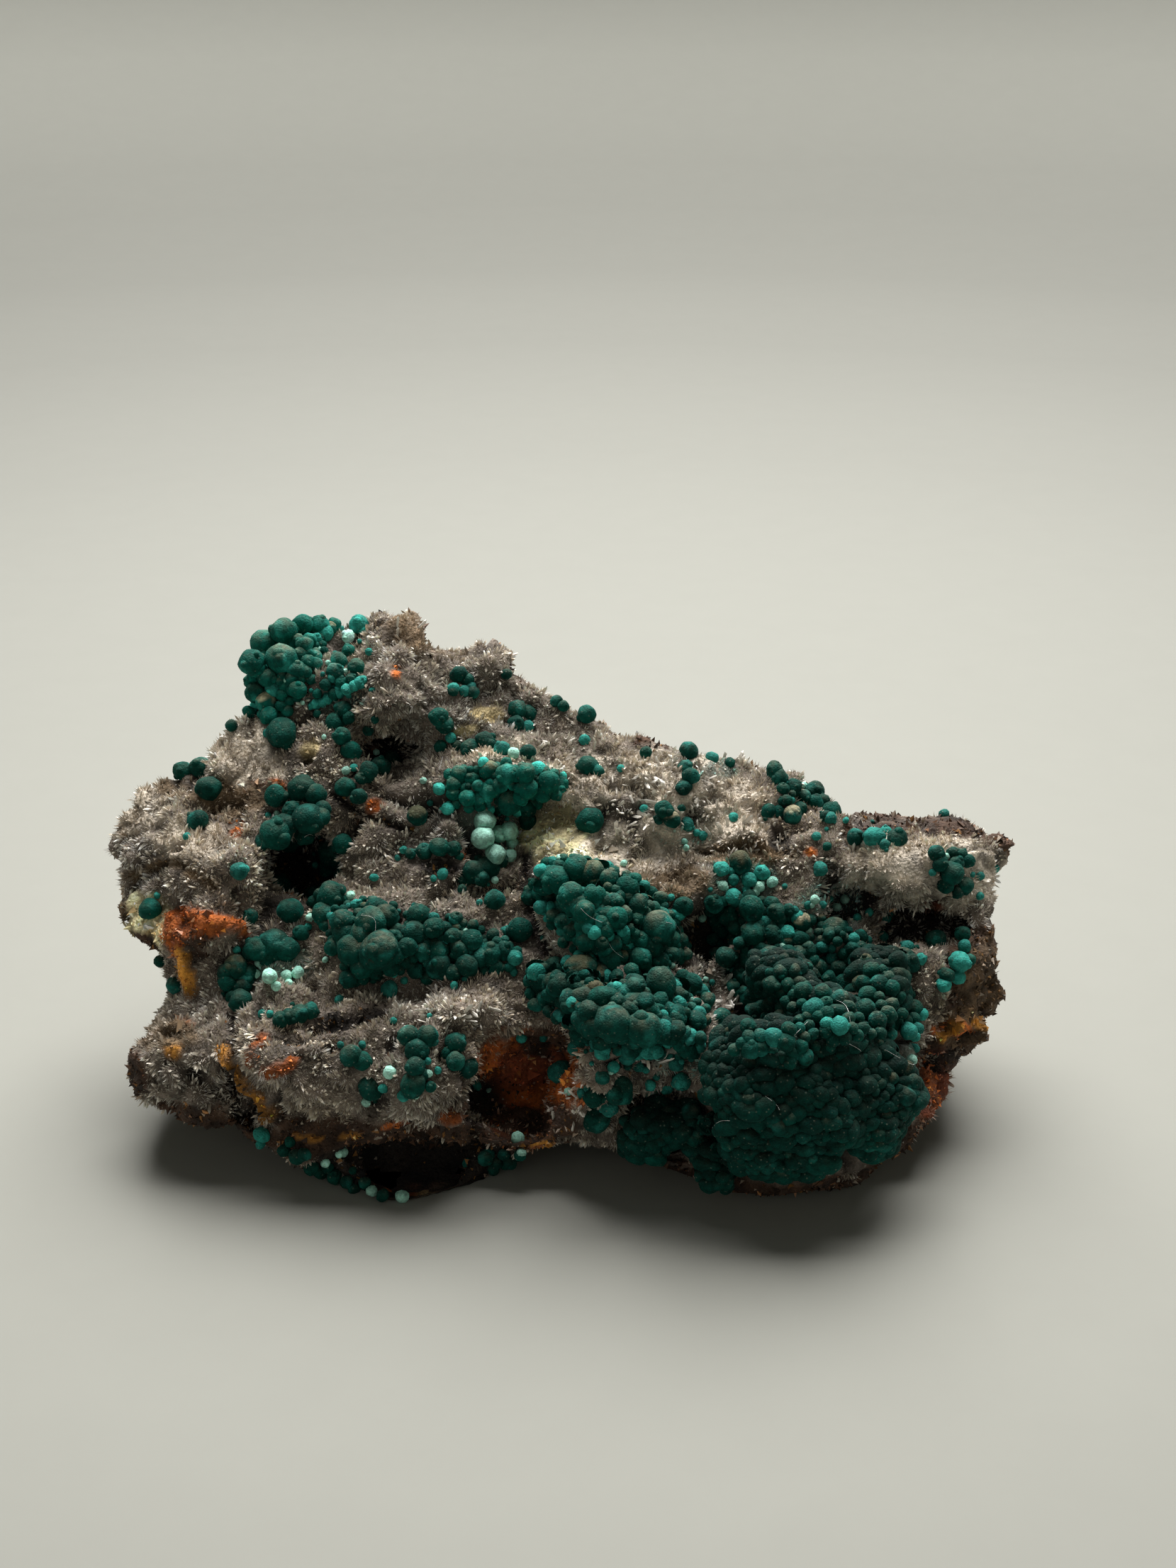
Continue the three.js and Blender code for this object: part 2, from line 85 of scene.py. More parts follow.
# Painted shade and light on the floor's colour, which darkens away from the middle and lightens again
# where it turns up:
# how light it is at distances from its middle in metres
SHADE_REACH = (0.06, 0.12, 0.26, 0.38, 0.52, 0.60)
FLOOR_SHADE = (1.0, 0.88, 0.66, 0.58, 0.76, 1.12)
FLOOR_GRAIN = (7.0, 0.975, 0.995)  # size in millimetres, least and most lightness

# The two lamps: place, target and size in metres, and colour
LAMPS = {
    "overhead": ((0.02, 0.27, 0.45), (0.0, 0.0, 0.015), 0.50, (1.0, 0.985, 0.96)),
    "fill": ((-0.25, -0.55, 0.35), (0.0, 0.0, 0.02), 0.5, (0.97, 0.985, 1.0)),
}
SKY_COLOUR = (0.96, 0.97, 1.0, 1.0)

# Large odd numbers that spread the cells of a lattice evenly
CELL_SPREAD = (73856093, 19349663, 83492791)
SEED_SPREAD = 2654435761
MIX_SPREAD = 1274126177
HASH_BITS = 0xFFFFFF

# What each piece's random draws start from; each growth adds its own number
SEEDS = {"growths": 200, "beads": 77, "druse": 11, "crumbs": 41, "blades": 21, "dust": 31}

# How a ball stands on the ground: its centre's height as a share of its radius
BALL_STAND = 0.68
MINT_STAND = 1.1
LARGE_MINT = 10  # radius in pixels over which a mint ball is a roll that points at the eye
MINT_ROLL = 2.3  # length of that roll against its breadth
MINT_LIFT = 1.3  # how far out the roll stands, in millimetres
SMALL_BALL = 0.72  # radii in millimetres under and over which balls have fewer and more facets
LARGE_BALL = 1.8
OPEN_FOOT = {"ball": 0.35, "bud": 0.7, "mint": 0.1}  # how much is left open below, as a share of a radius
BUD_SIZES = (0.25, 0.5)  # least and most radius of a bud, as a share of its ball's
CRUST_BUDS = 9  # radius in pixels over which a crust's thrown ball bears a bud
BEAD_BUDS = 10  # radius in pixels over which a bead bears two buds
BEAD_CHANCE = 0.75  # how often a ball of a growth has a stray bead beside it
BEAD_GAP = (4, 16)  # least and most gap between the two, in pixels
BEAD_RADII = (3, 6.5)  # least and most radius of a stray bead, in pixels
BEAD_FINISHES = ["b", "b", "b", "m", ""]

# Balls of each green growth: (x, y, radius), all in pixels, and how it is finished: b bright turquoise,
# m mint, d dusty olive top, c cream top, o rusty top, k deep green, darkened partly by painted shade and
# with painted shade on its top. A plain one is dark green.
GROWTHS = {
    "crest_crust": [
        (345, 925, 18), (375, 908, 22), (400, 890, 18), (428, 880, 14), (452, 882, 14), (340, 950, 9),
        (398, 928, 22, "d"), (430, 910, 13), (420, 945, 14), (458, 892, 13, "b"), (472, 880, 10),
        (352, 960, 9), (378, 955, 14), (360, 975, 14), (377, 990, 16, "c"), (350, 1002, 8),
        (380, 1008, 13), (420, 972, 13), (440, 958, 9), (372, 938, 10, "b"), (412, 903, 12),
        (360, 940, 12), (388, 972, 11, "b"), (445, 925, 10), (394, 903, 9, "b"), (385, 914, 8, "b"),
        (362, 944, 10, "b"), (356, 955, 8, "b"), (448, 900, 9, "b"),
    ],
    "crest_beads": [
        (492, 918, 10), (478, 932, 13), (474, 947, 12), (503, 940, 13), (507, 880, 14, "b"),
        (492, 897, 9, "m"), (440, 995, 6, "b"), (455, 990, 7, "b"), (472, 978, 9), (490, 972, 9, "b"),
        (508, 962, 9, "b"), (482, 962, 9), (460, 965, 9), (496, 956, 8), (470, 955, 8, "b"),
        (448, 978, 7), (446, 992, 8, "b"), (463, 985, 8, "b"), (480, 976, 9, "b"), (500, 967, 8, "b"),
        (512, 958, 7, "b"),
    ],
    "cave_beads": [
        (473, 1018, 14), (485, 1000, 12), (483, 1037, 13), (495, 1058, 14), (492, 1012, 10),
        (520, 1030, 8),
    ],
    "hump_foot": [(520, 1088, 14), (537, 1080, 14), (553, 1070, 12), (510, 1097, 9)],
    "shoulder_trio": [(259, 1087, 14), (284, 1083, 16), (295, 1112, 18)],
    "cave_knot": [
        (425, 1112, 20), (446, 1120, 17), (412, 1142, 13), (437, 1155, 23), (390, 1175, 24),
        (402, 1163, 17), (456, 1140, 12), (372, 1185, 12), (410, 1188, 14), (430, 1178, 13),
    ],
    "cave_side": [(470, 1205, 20), (484, 1190, 14), (480, 1233, 9), (462, 1225, 12)],
    "band_west": [
        (446, 1262, 14), (467, 1262, 20), (456, 1288, 16), (483, 1298, 17), (485, 1315, 18),
        (425, 1315, 12), (530, 1280, 16), (525, 1300, 22, "d"), (545, 1292, 18, "d"),
        (515, 1318, 20, "d"), (535, 1340, 28, "d"), (500, 1340, 25, "d"), (512, 1366, 16),
        (492, 1380, 12), (495, 1262, 7, "m"), (505, 1275, 8, "b"), (438, 1293, 6, "m"), (556, 1322, 13),
        (470, 1335, 12), (530, 1368, 12), (552, 1365, 12),
    ],
    "band_east": [
        (590, 1290, 17), (585, 1315, 17), (612, 1308, 15), (642, 1296, 9, "b"), (575, 1335, 14),
        (557, 1347, 13), (597, 1342, 12), (618, 1340, 18), (620, 1362, 19), (586, 1368, 12),
        (650, 1340, 14), (665, 1325, 16), (660, 1362, 16), (680, 1350, 14), (692, 1345, 16),
        (712, 1340, 14), (727, 1350, 11, "b"), (640, 1320, 11), (640, 1372, 12), (700, 1362, 11),
    ],
    "centre_knot": [
        (648, 1090, 12, "d"), (640, 1105, 11), (667, 1098, 12), (690, 1085, 15, "o"), (715, 1092, 15),
        (742, 1090, 14), (760, 1085, 12, "b"), (775, 1102, 16), (792, 1106, 12), (765, 1117, 14),
        (690, 1115, 14), (660, 1125, 12), (718, 1130, 18, "d"), (632, 1140, 10, "b"), (640, 1118, 11),
        (745, 1112, 13), (705, 1108, 12), (735, 1122, 12), (676, 1128, 10), (620, 1112, 10, "b"),
    ],
    "centre_band": [
        (640, 1195, 11), (620, 1194, 14), (600, 1200, 12), (580, 1203, 8), (570, 1198, 6, "b"),
    ],
    "basin_lump": [(668, 1228, 16), (690, 1222, 17), (704, 1213, 14), (655, 1240, 10), (680, 1238, 12)],
    "upper_dome": [
        (785, 1240, 20), (815, 1225, 20), (837, 1230, 18, "o"), (805, 1260, 16), (795, 1300, 12),
        (825, 1285, 16), (840, 1262, 16), (870, 1270, 12), (870, 1295, 17), (885, 1250, 16),
        (855, 1310, 12), (830, 1325, 18), (862, 1350, 18), (885, 1332, 12, "b"), (905, 1351, 18),
        (928, 1308, 26, "d"), (930, 1355, 14), (955, 1345, 12), (780, 1215, 8, "b"),
        (790, 1210, 6, "m"), (900, 1275, 15), (860, 1238, 14, "d"), (765, 1258, 13), (905, 1325, 12),
        (808, 1312, 12), (948, 1325, 13), (880, 1313, 10, "b"), (820, 1245, 12, "d"),
    ],
    "lower_dome": [
        (765, 1385, 16), (790, 1390, 18), (820, 1367, 22, "o"), (845, 1375, 17, "o"), (869, 1378, 10),
        (896, 1392, 15), (932, 1387, 21), (976, 1387, 16), (849, 1409, 9, "b"), (869, 1406, 10),
        (911, 1414, 14), (867, 1442, 27, "d"), (909, 1450, 25, "d"), (822, 1460, 17),
        (935, 1431, 9, "b"), (955, 1428, 13), (982, 1439, 14), (953, 1453, 16), (943, 1468, 10, "b"),
        (969, 1478, 14), (987, 1475, 10, "b"), (800, 1412, 16), (830, 1425, 16), (770, 1408, 13),
        (757, 1370, 13, "b"), (783, 1362, 14), (890, 1424, 13), (930, 1412, 13), (840, 1395, 13, "o"),
        (958, 1403, 13), (825, 1446, 13, "b"), (850, 1482, 12, "b"), (812, 1478, 11, "b"),
        (885, 1490, 12, "b"), (955, 1500, 12, "b"), (972, 1462, 13, "b"), (985, 1430, 12, "b"),
        (935, 1448, 12, "b"), (912, 1482, 11, "b"), (990, 1398, 11, "b"), (790, 1432, 10, "b"),
        (870, 1392, 10, "b"), (812, 1438, 13, "b"), (850, 1470, 15), (890, 1478, 14),
        (925, 1482, 12, "b"),
    ],
    "dome_foot": [
        (838, 1548, 14), (873, 1538, 22), (841, 1576, 21), (822, 1540, 8, "b"), (902, 1504, 8, "b"),
        (860, 1562, 13, "b"), (850, 1520, 10), (918, 1530, 8, "b"), (921, 1545, 10, "m"),
        (941, 1533, 10, "b"), (962, 1525, 13, "b"), (866, 1505, 9, "b"),
    ],
    "turquoise_knot": [
        (1018, 1225, 11, "b"), (1045, 1215, 16, "o"), (1075, 1230, 11, "b"), (1035, 1240, 9, "b"),
        (1072, 1250, 8, "m"), (1035, 1264, 12, "b"), (1058, 1240, 11, "b"), (1020, 1248, 8, "m"),
        (1055, 1262, 9, "b"), (1090, 1243, 8, "m"),
    ],
    "east_row": [
        (1008, 1274, 14), (1027, 1291, 14), (1061, 1281, 18), (1095, 1285, 14), (1039, 1308, 11),
        (1064, 1316, 18), (1038, 1329, 11), (1024, 1348, 15), (1056, 1351, 15), (1088, 1348, 16),
        (1111, 1345, 12), (1111, 1315, 11, "b"), (1128, 1323, 12), (1132, 1300, 13, "c"),
        (1048, 1376, 16), (1073, 1378, 14), (1106, 1388, 9), (1059, 1406, 15), (1077, 1421, 11),
        (1090, 1316, 12), (1012, 1300, 10), (1080, 1300, 11, "b"), (1140, 1340, 12),
    ],
    "ledge_balls": [
        (1249, 1345, 14), (1280, 1335, 10, "b"), (1285, 1358, 15), (1268, 1372, 11, "b"),
        (1244, 1322, 10, "b"), (1262, 1352, 11), (1300, 1352, 8, "b"), (1249, 1292, 10, "b"),
    ],
    "prow_knot": [
        (1322, 1203, 12), (1327, 1217, 11), (1365, 1213, 10), (1343, 1231, 16), (1335, 1248, 12),
        (1362, 1248, 12), (1358, 1204, 8), (1350, 1218, 11), (1345, 1202, 9), (1352, 1258, 9),
    ],
    "prow_trio": [
        (1207, 1180, 12), (1233, 1179, 15, "b"), (1266, 1182, 15), (1250, 1172, 9, "b"),
        (1248, 1190, 8),
    ],
    "skyline_crust": [
        (1093, 1085, 12), (1100, 1096, 12), (1120, 1110, 12), (1150, 1115, 14), (1150, 1132, 12),
        (1174, 1142, 13), (1172, 1153, 9, "b"), (1119, 1149, 14, "c"), (1135, 1122, 10),
        (1110, 1128, 9), (1130, 1140, 10), (1162, 1128, 9), (1105, 1112, 9), (1084, 1143, 10),
        (1100, 1143, 9), (1165, 1150, 9),
    ],
    "slope_pair": [(938, 1142, 14), (948, 1155, 13, "c"), (970, 1162, 10, "b"), (930, 1155, 8)],
    "west_cluster": [
        (362, 1338, 17), (386, 1332, 21), (405, 1338, 17), (378, 1350, 12), (350, 1345, 10),
    ],
    "west_lump": [
        (333, 1364, 17, "o"), (320, 1371, 13), (345, 1380, 13, "b"), (342, 1390, 15), (340, 1412, 16),
        (322, 1385, 12), (352, 1372, 13), (328, 1405, 10),
    ],
    "finger": [(396, 1437, 12), (409, 1433, 13), (423, 1429, 13), (438, 1425, 12)],
    "shelf_pair": [(495, 1488, 16), (513, 1496, 14)],
    "shelf_stack": [
        (576, 1460, 14), (603, 1460, 16), (589, 1482, 18), (586, 1504, 14), (582, 1530, 18),
        (608, 1532, 9), (598, 1515, 9), (570, 1545, 9, "b"),
    ],
    "shelf_trio": [
        (643, 1471, 15), (643, 1496, 14), (660, 1504, 16), (673, 1530, 7, "b"), (632, 1484, 9),
    ],
    "west_ball": [(212, 1281, 15)],
    "shoulder_ball": [(280, 1156, 15)],
    "crest_ball": [(398, 1033, 22)],
    "cave_ball": [(390, 1122, 16)],
    "band_end_ball": [(395, 1250, 17)],
    "band_foot_ball": [(410, 1283, 17)],
    "basin_ball": [(735, 1311, 18), (713, 1312, 7, "b")],
    "ridge_ball": [(698, 1268, 15)],
    "slope_ball": [(833, 1158, 20)],
    "dome_ball": [(964, 1278, 15)],
    "shelf_drop": [(524, 1534, 16), (541, 1534, 7, "b"), (517, 1554, 7, "m")],
    "hollow_ball": [(791, 1512, 18, "b")],
    "mint_ball": [
        (684, 1158, 15, "m"), (682, 1180, 17, "m"), (704, 1176, 13, "m"), (719, 1172, 14, "m"),
        (700, 1204, 15, "m"), (719, 1206, 10, "m"), (724, 1190, 9, "m"),
    ],
}

# How light some growths are against the common green
LIGHTNESS = {
    "crest_crust": 2.0, "crest_beads": 1.5, "centre_knot": 2.0, "upper_dome": 1.45, "cave_beads": 1.2,
    "band_west": 1.1,
}

# The crease across the apron, which balls fill up: points and half width in pixels, and the fill in
# millimetres
SADDLE = ([(1010, 1476), (1075, 1446), (1150, 1436), (1230, 1442), (1292, 1462)], 36, 2.2)

# Single small balls between the growths, in the same form
BEADS = [
    (1292, 1462, 7, "b"), (1290, 1478, 8, "b"), (1287, 1494, 8, "m"), (1284, 1510, 8, "b"),
    (1283, 1526, 7, "b"), (1286, 1540, 6, "m"), (1296, 1450, 8, "b"), (1301, 1430, 9, "b"),
    (640, 970, 8, "b"), (655, 974, 8, "b"), (668, 976, 9), (660, 958, 10), (636, 1040, 8, "b"),
    (966, 1186, 5, "m"), (968, 1195, 5, "m"), (1150, 1268, 7, "m"), (1161, 1275, 6, "b"),
    (1171, 1267, 6, "b"), (1192, 1268, 7, "m"), (1122, 1283, 6, "b"), (1249, 1291, 10),
    (1140, 1276, 6, "b"), (1181, 1279, 6, "m"), (1210, 1293, 6, "b"), (323, 1020, 9),
    (378, 1033, 7, "b"), (338, 1228, 13, "b"), (353, 1293, 11), (248, 1388, 13), (222, 1355, 9),
    (488, 1110, 14), (507, 1122, 12), (415, 1258, 8), (528, 1237, 6, "b"), (625, 1232, 8, "b"),
    (652, 1253, 7), (612, 1238, 5, "b"), (747, 1265, 11), (365, 1358, 6, "m"), (362, 1373, 6, "m"),
    (381, 1376, 11, "m"), (405, 1375, 8, "m"), (408, 1386, 6, "m"), (421, 1371, 9, "m"),
    (390, 1390, 7, "m"), (479, 1409, 7, "b"), (550, 1395, 12, "b"), (620, 1010, 14), (628, 1022, 13),
    (622, 1052, 10), (645, 1052, 9), (663, 1055, 13), (685, 1045, 15), (708, 1056, 12, "b"),
    (725, 1062, 9, "m"), (745, 1060, 11), (745, 1140, 13), (745, 1157, 13), (648, 950, 12),
    (665, 970, 9, "b"), (715, 950, 8), (640, 975, 7), (730, 1000, 13), (746, 1006, 12), (728, 1020, 12),
    (745, 1025, 9, "b"), (785, 978, 9), (795, 995, 9), (828, 1004, 13), (825, 1043, 8, "b"),
    (830, 1080, 15), (845, 1087, 9), (876, 1083, 6, "b"), (590, 1150, 14, "o"), (912, 1060, 9),
    (972, 1058, 13), (1005, 1068, 9, "b"), (967, 1082, 11), (975, 1094, 12), (965, 1110, 11),
    (1030, 1075, 8), (1035, 1152, 7, "b"), (992, 1178, 7, "b"), (1152, 1179, 7, "b"), (1167, 1193, 7),
    (1158, 1225, 11, "b"), (1332, 1148, 8, "b"), (1404, 1224, 6, "b"), (1383, 1263, 6, "b"),
    (1320, 1325, 15), (1358, 1316, 11), (1361, 1334, 10, "b"), (1354, 1356, 15, "b"), (1369, 1353, 9),
    (1336, 1375, 11), (1332, 1388, 11, "b"), (1353, 1378, 10, "b"), (1175, 1310, 17, "d"),
    (1205, 1323, 9, "b"), (1203, 1336, 10), (1190, 1345, 9), (1160, 1335, 9, "b"), (1019, 1436, 14),
    (1026, 1452, 11), (550, 1512, 10, "m"), (736, 1463, 8, "b"), (767, 1463, 6, "b"),
    (370, 1600, 11, "b"), (356, 1622, 7, "b"), (419, 1631, 11), (463, 1646, 9), (485, 1625, 7, "m"),
    (498, 1650, 6), (690, 1628, 9), (712, 1628, 9), (731, 1628, 10), (731, 1645, 9), (712, 1650, 8),
    (731, 1605, 10, "m"), (568, 1687, 10, "m"), (402, 1622, 9), (440, 1646, 11), (700, 1640, 10),
    (660, 1640, 8, "b"), (430, 1628, 10), (450, 1656, 10), (470, 1662, 11), (483, 1674, 10),
    (500, 1676, 10), (525, 1679, 8, "m"), (459, 1640, 7, "m"), (479, 1627, 6, "m"), (515, 1668, 9),
    (686, 1632, 11), (720, 1640, 10), (733, 1640, 7, "m"), (696, 1650, 9), (540, 1685, 9),
    (410, 1610, 8),
]

# The whole apron, which bears no needles: corners in pixels
APRON_OUTLINE = [
    (1085, 1372), (1050, 1450), (1007, 1495), (974, 1546), (905, 1580), (884, 1606), (926, 1650),
    (1000, 1685), (1090, 1692), (1139, 1672), (1150, 1645), (1210, 1655), (1250, 1640), (1290, 1600),
    (1300, 1555), (1292, 1500), (1290, 1405), (1265, 1373), (1217, 1352), (1150, 1362),
]

# Outlines that are crowded with balls: least and most radius, and corners, in pixels
CRUSTS = {
    "upper_dome": (7, 12, [
        (745, 1255), (770, 1215), (820, 1203), (900, 1235), (960, 1290), (972, 1345), (930, 1372),
        (860, 1366), (800, 1340), (770, 1290),
    ]),
    "lower_dome": (7, 12, [
        (742, 1372), (800, 1352), (870, 1372), (950, 1370), (1000, 1388), (1000, 1440), (985, 1488),
        (900, 1486), (840, 1482), (790, 1440), (748, 1410),
    ]),
    "apron_crust": (8, 14, [
        (1085, 1368), (1062, 1430), (1035, 1480), (1110, 1500), (1200, 1465), (1292, 1455),
        (1292, 1405), (1267, 1372), (1217, 1350), (1150, 1360),
    ]),
    "band_west": (6, 10, [(430, 1255), (560, 1275), (575, 1370), (500, 1390), (470, 1330)]),
    "band_east": (6, 10, [
        (575, 1285), (640, 1290), (735, 1335), (720, 1365), (600, 1380), (560, 1350),
    ]),
    "crest_crust": (6, 11, [
        (322, 930), (345, 898), (385, 874), (440, 864), (470, 885), (440, 950), (400, 1015),
        (355, 1005), (352, 965),
    ]),
    "centre_knot": (6, 10, [
        (630, 1090), (690, 1070), (800, 1095), (790, 1125), (730, 1145), (640, 1140),
    ]),
    "east_row": (6, 11, [
        (995, 1270), (1060, 1262), (1140, 1290), (1215, 1310), (1215, 1345), (1090, 1372), (1070, 1430),
        (1040, 1400), (1010, 1350),
    ]),
}
GREEN_NODES = [*GROWTHS, "apron_crust"]

MOUND_SIZE = 2.0  # breadth in millimetres of the mounds of needles
NEEDLE_ROOM = 0.12  # how clear of the balls needles and crumbs stay, in millimetres
CRUMB_ROOM = 0.05
NEEDLE_FLOOR = 0.8  # heights under which there are no needles, stray needles or crumbs, in millimetres
STRAY_FLOOR = 2.5
CRUMB_FLOOR = 0.4
FOOT_TOP = 3.2  # where the bare gossan round the foot ends, and the height it fades over, in millimetres
FOOT_FADE = 1.5
BACK_NEEDLES = 0.35  # how thickly needles grow on the back, and stray ones all over, against the face
STRAY_NEEDLES = 0.03
NEEDLE_THROWS = 1.3  # needles thrown for each one wanted, because some land in balls
NEEDLE_SINK = 0.15  # how deep needles and blades are rooted, in millimetres
BLADE_SINK = 0.3
CROWDING = 0.62  # how near two crust balls may come, as a share of their radii
BED_CROWDING = 0.56  # the same for the balls of a bed, which are grown together
CROWD_AREA = 40  # pixels of an outline's box for each ball that is thrown
CROWD_ROUNDS = (1.0, 0.6, 0.25)  # the balls of each round are smaller, and fill the gaps
BED_ROUNDS = (1.0, 0.55, 0.25)
CROWD_FINISHES = (["", "d", "b", "o"], [0.76, 0.14, 0.08, 0.02])  # finishes and how common they are
BED_SHARES = [0.87, 0.11, 0.02]  # how common plain, dusty and rusty balls are on a bed
BED_THROWS = 3500
BED_GRAIN = 0.45  # size in millimetres of a bed's facets
BED_BURIAL = 0.2  # how deep in the gossan a bed's ball may start, in millimetres
BED_STAND = (-0.15, 0.3)  # least and most height of a bed's ball over the bed, as a share of its radius
APRON_SINK = 0.12  # how much lower the balls of the apron stand
BED_ROLLS = (1.0, 1.7)  # least and most length of a bed's ball against its breadth

# Growths whose solid is kept, drawn in, as the bed that their balls stand on,
# and the least and most radius of those balls in millimetres
BEDDED = {"apron_crust": (0.42, 1.05), "upper_dome": (0.5, 1.1), "lower_dome": (0.5, 1.1)}

# Bare and stained ground, and painted shade and light: (x, y, half width, half height) in pixels, and the
# ground's name.
# The dark ground is painted shade in the hollows and under the shelf, and the pale ground is painted
# light on the druse of the lit upper slopes.
GROUND = [
    (196, 1304, 42, 44, "clay"), (164, 1298, 12, 34, "tan"), (190, 1334, 22, 9, "tan"),
    (212, 1318, 10, 8, "loam"), (185, 1340, 34, 28, "gossan"), (175, 1150, 24, 30, "stain"),
    (225, 1110, 34, 16, "stain"), (285, 1305, 56, 20, "rust"), (255, 1316, 22, 32, "rust"),
    (264, 1365, 13, 36, "ochre"), (280, 1326, 22, 15, "gossan"), (283, 1345, 12, 10, "gossan"),
    (247, 1480, 13, 16, "ochre"), (262, 1445, 12, 10, "rust"), (240, 1580, 105, 28, "gossan"),
    (180, 1525, 28, 45, "gossan"), (235, 1455, 50, 24, "stain"), (330, 1602, 40, 26, "gossan"),
    (560, 1612, 200, 24, "gossan"), (745, 1530, 72, 88, "rust"), (740, 1500, 40, 30, "red"),
    (700, 1548, 36, 38, "dark"), (780, 1585, 44, 30, "gossan"), (765, 1470, 40, 22, "gossan"),
    (735, 1570, 30, 22, "gossan"), (600, 1658, 175, 44, "dark"), (1385, 1420, 55, 115, "gossan"),
    (1360, 1480, 62, 44, "gossan"), (1392, 1395, 40, 70, "tan"), (1370, 1450, 40, 36, "tan"),
    (1345, 1452, 34, 12, "rust"), (1305, 1530, 22, 18, "rust"), (1328, 1550, 38, 60, "red"),
    (1345, 1600, 34, 40, "gossan"), (1205, 1676, 90, 22, "gossan"), (1300, 1610, 40, 36, "gossan"),
    (1270, 1660, 50, 24, "gossan"), (1330, 1155, 130, 15, "gossan"), (1400, 1168, 30, 14, "gossan"),
    (1426, 1195, 16, 34, "gossan"), (1230, 1165, 40, 9, "gossan"), (1300, 1303, 62, 17, "dark"),
    (1318, 1279, 15, 8, "red"), (785, 1188, 50, 44, "clay"), (862, 1212, 26, 16, "clay"),
    (690, 1003, 24, 12, "loam"), (436, 1058, 16, 14, "loam"), (660, 1025, 20, 10, "loam"),
    (925, 1048, 30, 12, "gossan"), (527, 1135, 15, 14, "rust"), (560, 944, 8, 6, "rust"),
    (335, 1165, 13, 9, "rust"), (374, 1110, 28, 11, "rust"), (352, 1106, 15, 10, "rust"),
    (1143, 1202, 9, 7, "rust"), (657, 1205, 8, 8, "rust"), (545, 1056, 42, 18, "dark"),
    (432, 1215, 50, 40, "dark"), (1215, 1270, 30, 18, "dark"), (1000, 1315, 36, 34, "dark"),
    (1055, 1425, 30, 26, "dark"), (350, 1570, 22, 26, "dark"), (930, 1585, 40, 40, "dark"),
    (1345, 1500, 40, 14, "dark"), (620, 1222, 30, 12, "dark"), (468, 1440, 26, 12, "dark"),
    (232, 1212, 12, 14, "dark"), (600, 890, 50, 26, "stain"), (1040, 1200, 60, 22, "stain"),
    (330, 1120, 60, 24, "stain"), (950, 1240, 60, 24, "stain"), (1168, 1285, 56, 44, "frost"),
    (1045, 1248, 46, 34, "frost"), (1240, 1180, 36, 20, "frost"), (965, 1495, 46, 22, "frost"),
    (1282, 1505, 14, 40, "frost"), (395, 1362, 44, 24, "frost"), (690, 1165, 40, 36, "frost"),
    (1000, 1085, 40, 14, "frost"), (970, 1180, 40, 14, "frost"), (470, 985, 50, 18, "frost"),
    (1330, 1225, 110, 50, "pale"), (1235, 1225, 50, 30, "pale"), (190, 1130, 50, 40, "pale"),
    (265, 1185, 60, 36, "pale"), (1010, 1140, 80, 50, "pale"), (900, 1190, 70, 40, "pale"),
    (350, 1070, 50, 40, "pale"), (700, 1060, 60, 20, "pale"), (820, 1100, 50, 40, "pale"),
    (280, 1050, 60, 16, "pale"), (930, 1095, 80, 36, "pale"),
]

# Stained lines of the ground, and dark lines of painted shade along the crevices: points and half width
# in pixels, kind of ground, and height in millimetres
SEAMS = [
    ([(236, 1290), (262, 1284), (300, 1297), (343, 1317)], 9, "rust", 0.6),
    ([(372, 1462), (366, 1474)], 6, "rust", 0.4),
    ([(358, 1486), (362, 1494)], 8, "rust", 0.4),
    ([(382, 1506), (404, 1505), (412, 1494)], 8, "rust", 0.4),
    ([(320, 1484), (336, 1508), (352, 1530), (366, 1548), (384, 1572)], 7, "ochre", 0.9),
    ([(326, 1425), (330, 1470)], 8, "dark", -1.2),
    ([(318, 1500), (334, 1545), (346, 1592)], 8, "dark", -1.6),
    ([(440, 1442), (490, 1440), (540, 1424)], 9, "dark", -1.3),
    ([(405, 1582), (450, 1592), (520, 1591), (600, 1600), (680, 1592), (745, 1612)], 10, "gossan", 0.3),
    ([(420, 1600), (452, 1607)], 3, "ochre", 0.2),
    ([(480, 1606), (512, 1602)], 3, "ochre", 0.2),
    ([(545, 1588), (570, 1583)], 4, "rust", 0.2),
    ([(628, 1580), (646, 1576)], 7, "rust", 0.2),
    ([(738, 1614), (775, 1613)], 4, "ochre", 0.2),
    ([(1195, 1168), (1300, 1160), (1400, 1172), (1432, 1200)], 9, "gossan", 0.2),
    ([(1330, 1462), (1352, 1448)], 9, "ochre", 0.2),
    ([(1384, 1440), (1394, 1450)], 6, "ochre", 0.2),
    ([(1306, 1500), (1318, 1530), (1322, 1560)], 8, "rust", 0.2),
    ([(1262, 1288), (1345, 1300)], 9, "dark", -1.0),
    ([(740, 1210), (748, 1290), (770, 1340)], 9, "dark", -1.0),
    ([(860, 1500), (960, 1500)], 7, "dark", -1.0),
    ([(470, 1120), (520, 1150), (580, 1170)], 7, "dark", -1.0),
    ([(990, 1200), (1060, 1190), (1120, 1205)], 6, "stain", -0.8),
    ([(180, 1235), (240, 1215), (300, 1250)], 7, "stain", -0.8),
]

# Raised ground: (x, y, half width, half height) in pixels, and the height in millimetres
RISES = [
    (358, 930, 46, 60, 1.4), (556, 886, 66, 40, 2.2), (282, 1312, 62, 32, 1.7),
    (264, 1365, 15, 42, 0.9), (830, 1030, 40, 30, 0.6), (655, 1425, 70, 22, 0.8),
    (388, 1488, 36, 34, 0.6), (1110, 1110, 60, 26, 0.6), (692, 930, 34, 34, 2.6),
    (782, 1206, 62, 48, 2.4),
]

# The thin slab at the right, where the ground stays even: (x, y, half width, half height) in pixels
EVEN_SLAB = (1350, 1200, 130, 90)

